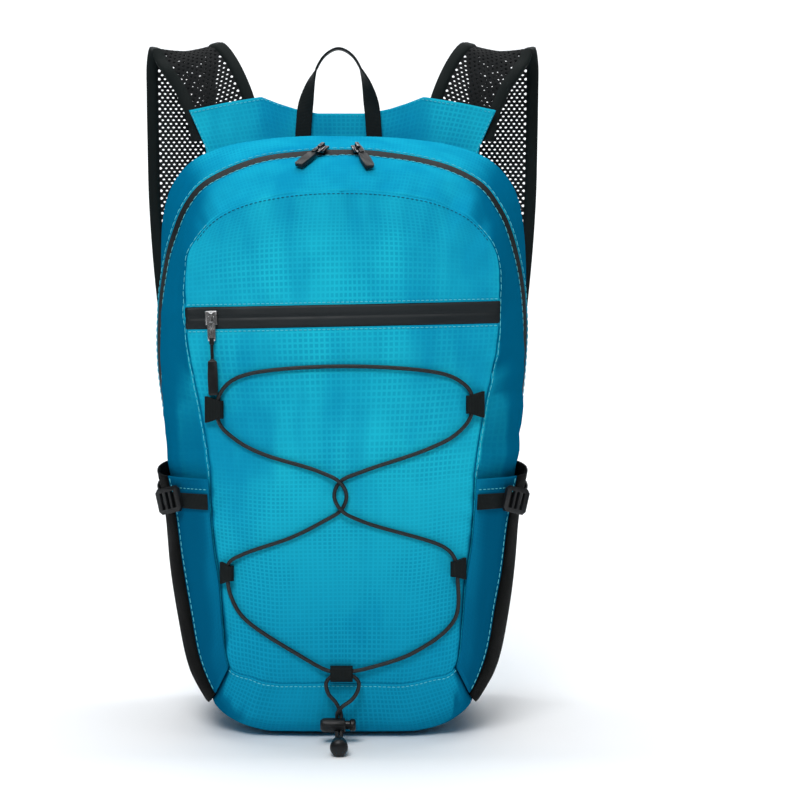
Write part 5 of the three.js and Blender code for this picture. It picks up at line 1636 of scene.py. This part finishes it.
for tag, side in SIDES:
    strip_edge = pocket_side(side, POCKET_EDGE + 0.05, POCKET_EDGE + 0.05)
    places = [on_strip(strip_edge(0, mix(0.02, 0.995, s))) for s in shares(80)]
    stitch_row(f"stitch_strip_{tag}", places, outwards, thread_and_highlight, long=4.2, gap=0.25)
    places = []
    for s in shares(50):
        place = mix(POCKET_EDGE + 0.08, SEAM_PLACE - 0.1, s)
        p, stand = pocket_stand(level_station(place, POCKET_MOUTH - HEM), place)
        p = Vector((side * p.x, p.y, p.z))
        places.append(on_strip(p + outwards(p) * stand))
    stitch_row(f"stitch_hem_{tag}", places, outwards, thread_and_highlight)
yoke_edge = chain([p + Vector((-math.copysign(YOKE_STITCH, p.x), 0, -YOKE_STITCH))
                   for p in yoke_left + yoke_right[::-1]])
yoke_points = [Vector((p.x, YOKE_Y - YOKE_WALL - 0.05, p.z)) for p in (yoke_edge(s) for s in shares(220))]
stitch_row("stitch_yoke", yoke_points, front_out, thread_and_highlight)
print("stitch rows done")

# %% [markdown]
# ## Stage and light
# A white sweep: floor and wall in one, so no corner shows behind the bag. A large soft light in front
# and a weaker one above light the bag, and a third one the wall. Little light comes from the sides,
# which is one reason why the flanks of the bag look much deeper than its front; the other is the
# painted shade in the cloth's colour.

# %% Stage
HALF_STAGE = 4
FLOOR_FRONT = -2.4
FLOOR_BACK = 1.6
WALL_BEND = 0.8
WALL_TOP = 3.5
shape = bmesh.new()
edge = shape.edges.new([shape.verts.new((x, FLOOR_FRONT, 0)) for x in (-HALF_STAGE, HALF_STAGE)])
bends = [math.pi / 2 * s for s in shares(16)[1:]]
sweep_line = [(FLOOR_BACK, 0.0)]
sweep_line += [(FLOOR_BACK + WALL_BEND * math.sin(a), WALL_BEND * (1 - math.cos(a))) for a in bends]
sweep_line.append((FLOOR_BACK + WALL_BEND, WALL_TOP))
for y, z in sweep_line:
    made = bmesh.ops.extrude_edge_only(shape, edges=[edge])["geom"]
    fresh = [item for item in made if isinstance(item, bmesh.types.BMVert)]
    edge = next(item for item in made
                if isinstance(item, bmesh.types.BMEdge) and all(vert in fresh for vert in item.verts))
    for vert in fresh:
        vert.co.y, vert.co.z = y, z
bmesh.ops.recalc_face_normals(shape, faces=shape.faces[:])
mesh = bpy.data.meshes.new("sweep")
shape.to_mesh(mesh)
shape.free()
mesh.polygons.foreach_set("use_smooth", [True] * len(mesh.polygons))
floor = bpy.data.objects.new("sweep", mesh)
bpy.context.scene.collection.objects.link(floor)
paper, tree, shader = new_material("paper")
shader.inputs["Base Color"].default_value = (0.93, 0.95, 0.97, 1)
shader.inputs["Roughness"].default_value = 0.7
shader.inputs["Specular IOR Level"].default_value = 0.2
mesh.materials.append(paper)

# %% Lights
def area_light(name, where, size, power, aim=(0, 0, 0.22)):
    data = bpy.data.lights.new(name, "AREA")
    data.shape = "RECTANGLE"
    data.size, data.size_y = size
    data.energy = power
    lamp = bpy.data.objects.new(name, data)
    lamp.location = where
    lamp.rotation_euler = (Vector(aim) - Vector(where)).to_track_quat("-Z", "Y").to_euler()
    bpy.context.scene.collection.objects.link(lamp)


area_light("front_light", (-0.45, -1.8, 2.15), (1.2, 0.8), 39)
area_light("top_light", (0.1, -0.5, 2.4), (1.6, 1.2), 11)
area_light("wall_light", (0, 0.6, 2.6), (3.5, 1.0), 75, aim=(0, 2.4, 0.6))
world = bpy.data.worlds.new("studio")
bpy.context.scene.world = world
world.use_nodes = True
sky = world.node_tree.nodes["Background"]
sky.inputs["Color"].default_value = (1, 1, 1, 1)
sky.inputs["Strength"].default_value = 0.12
bpy.context.scene.view_settings.view_transform = "Standard"
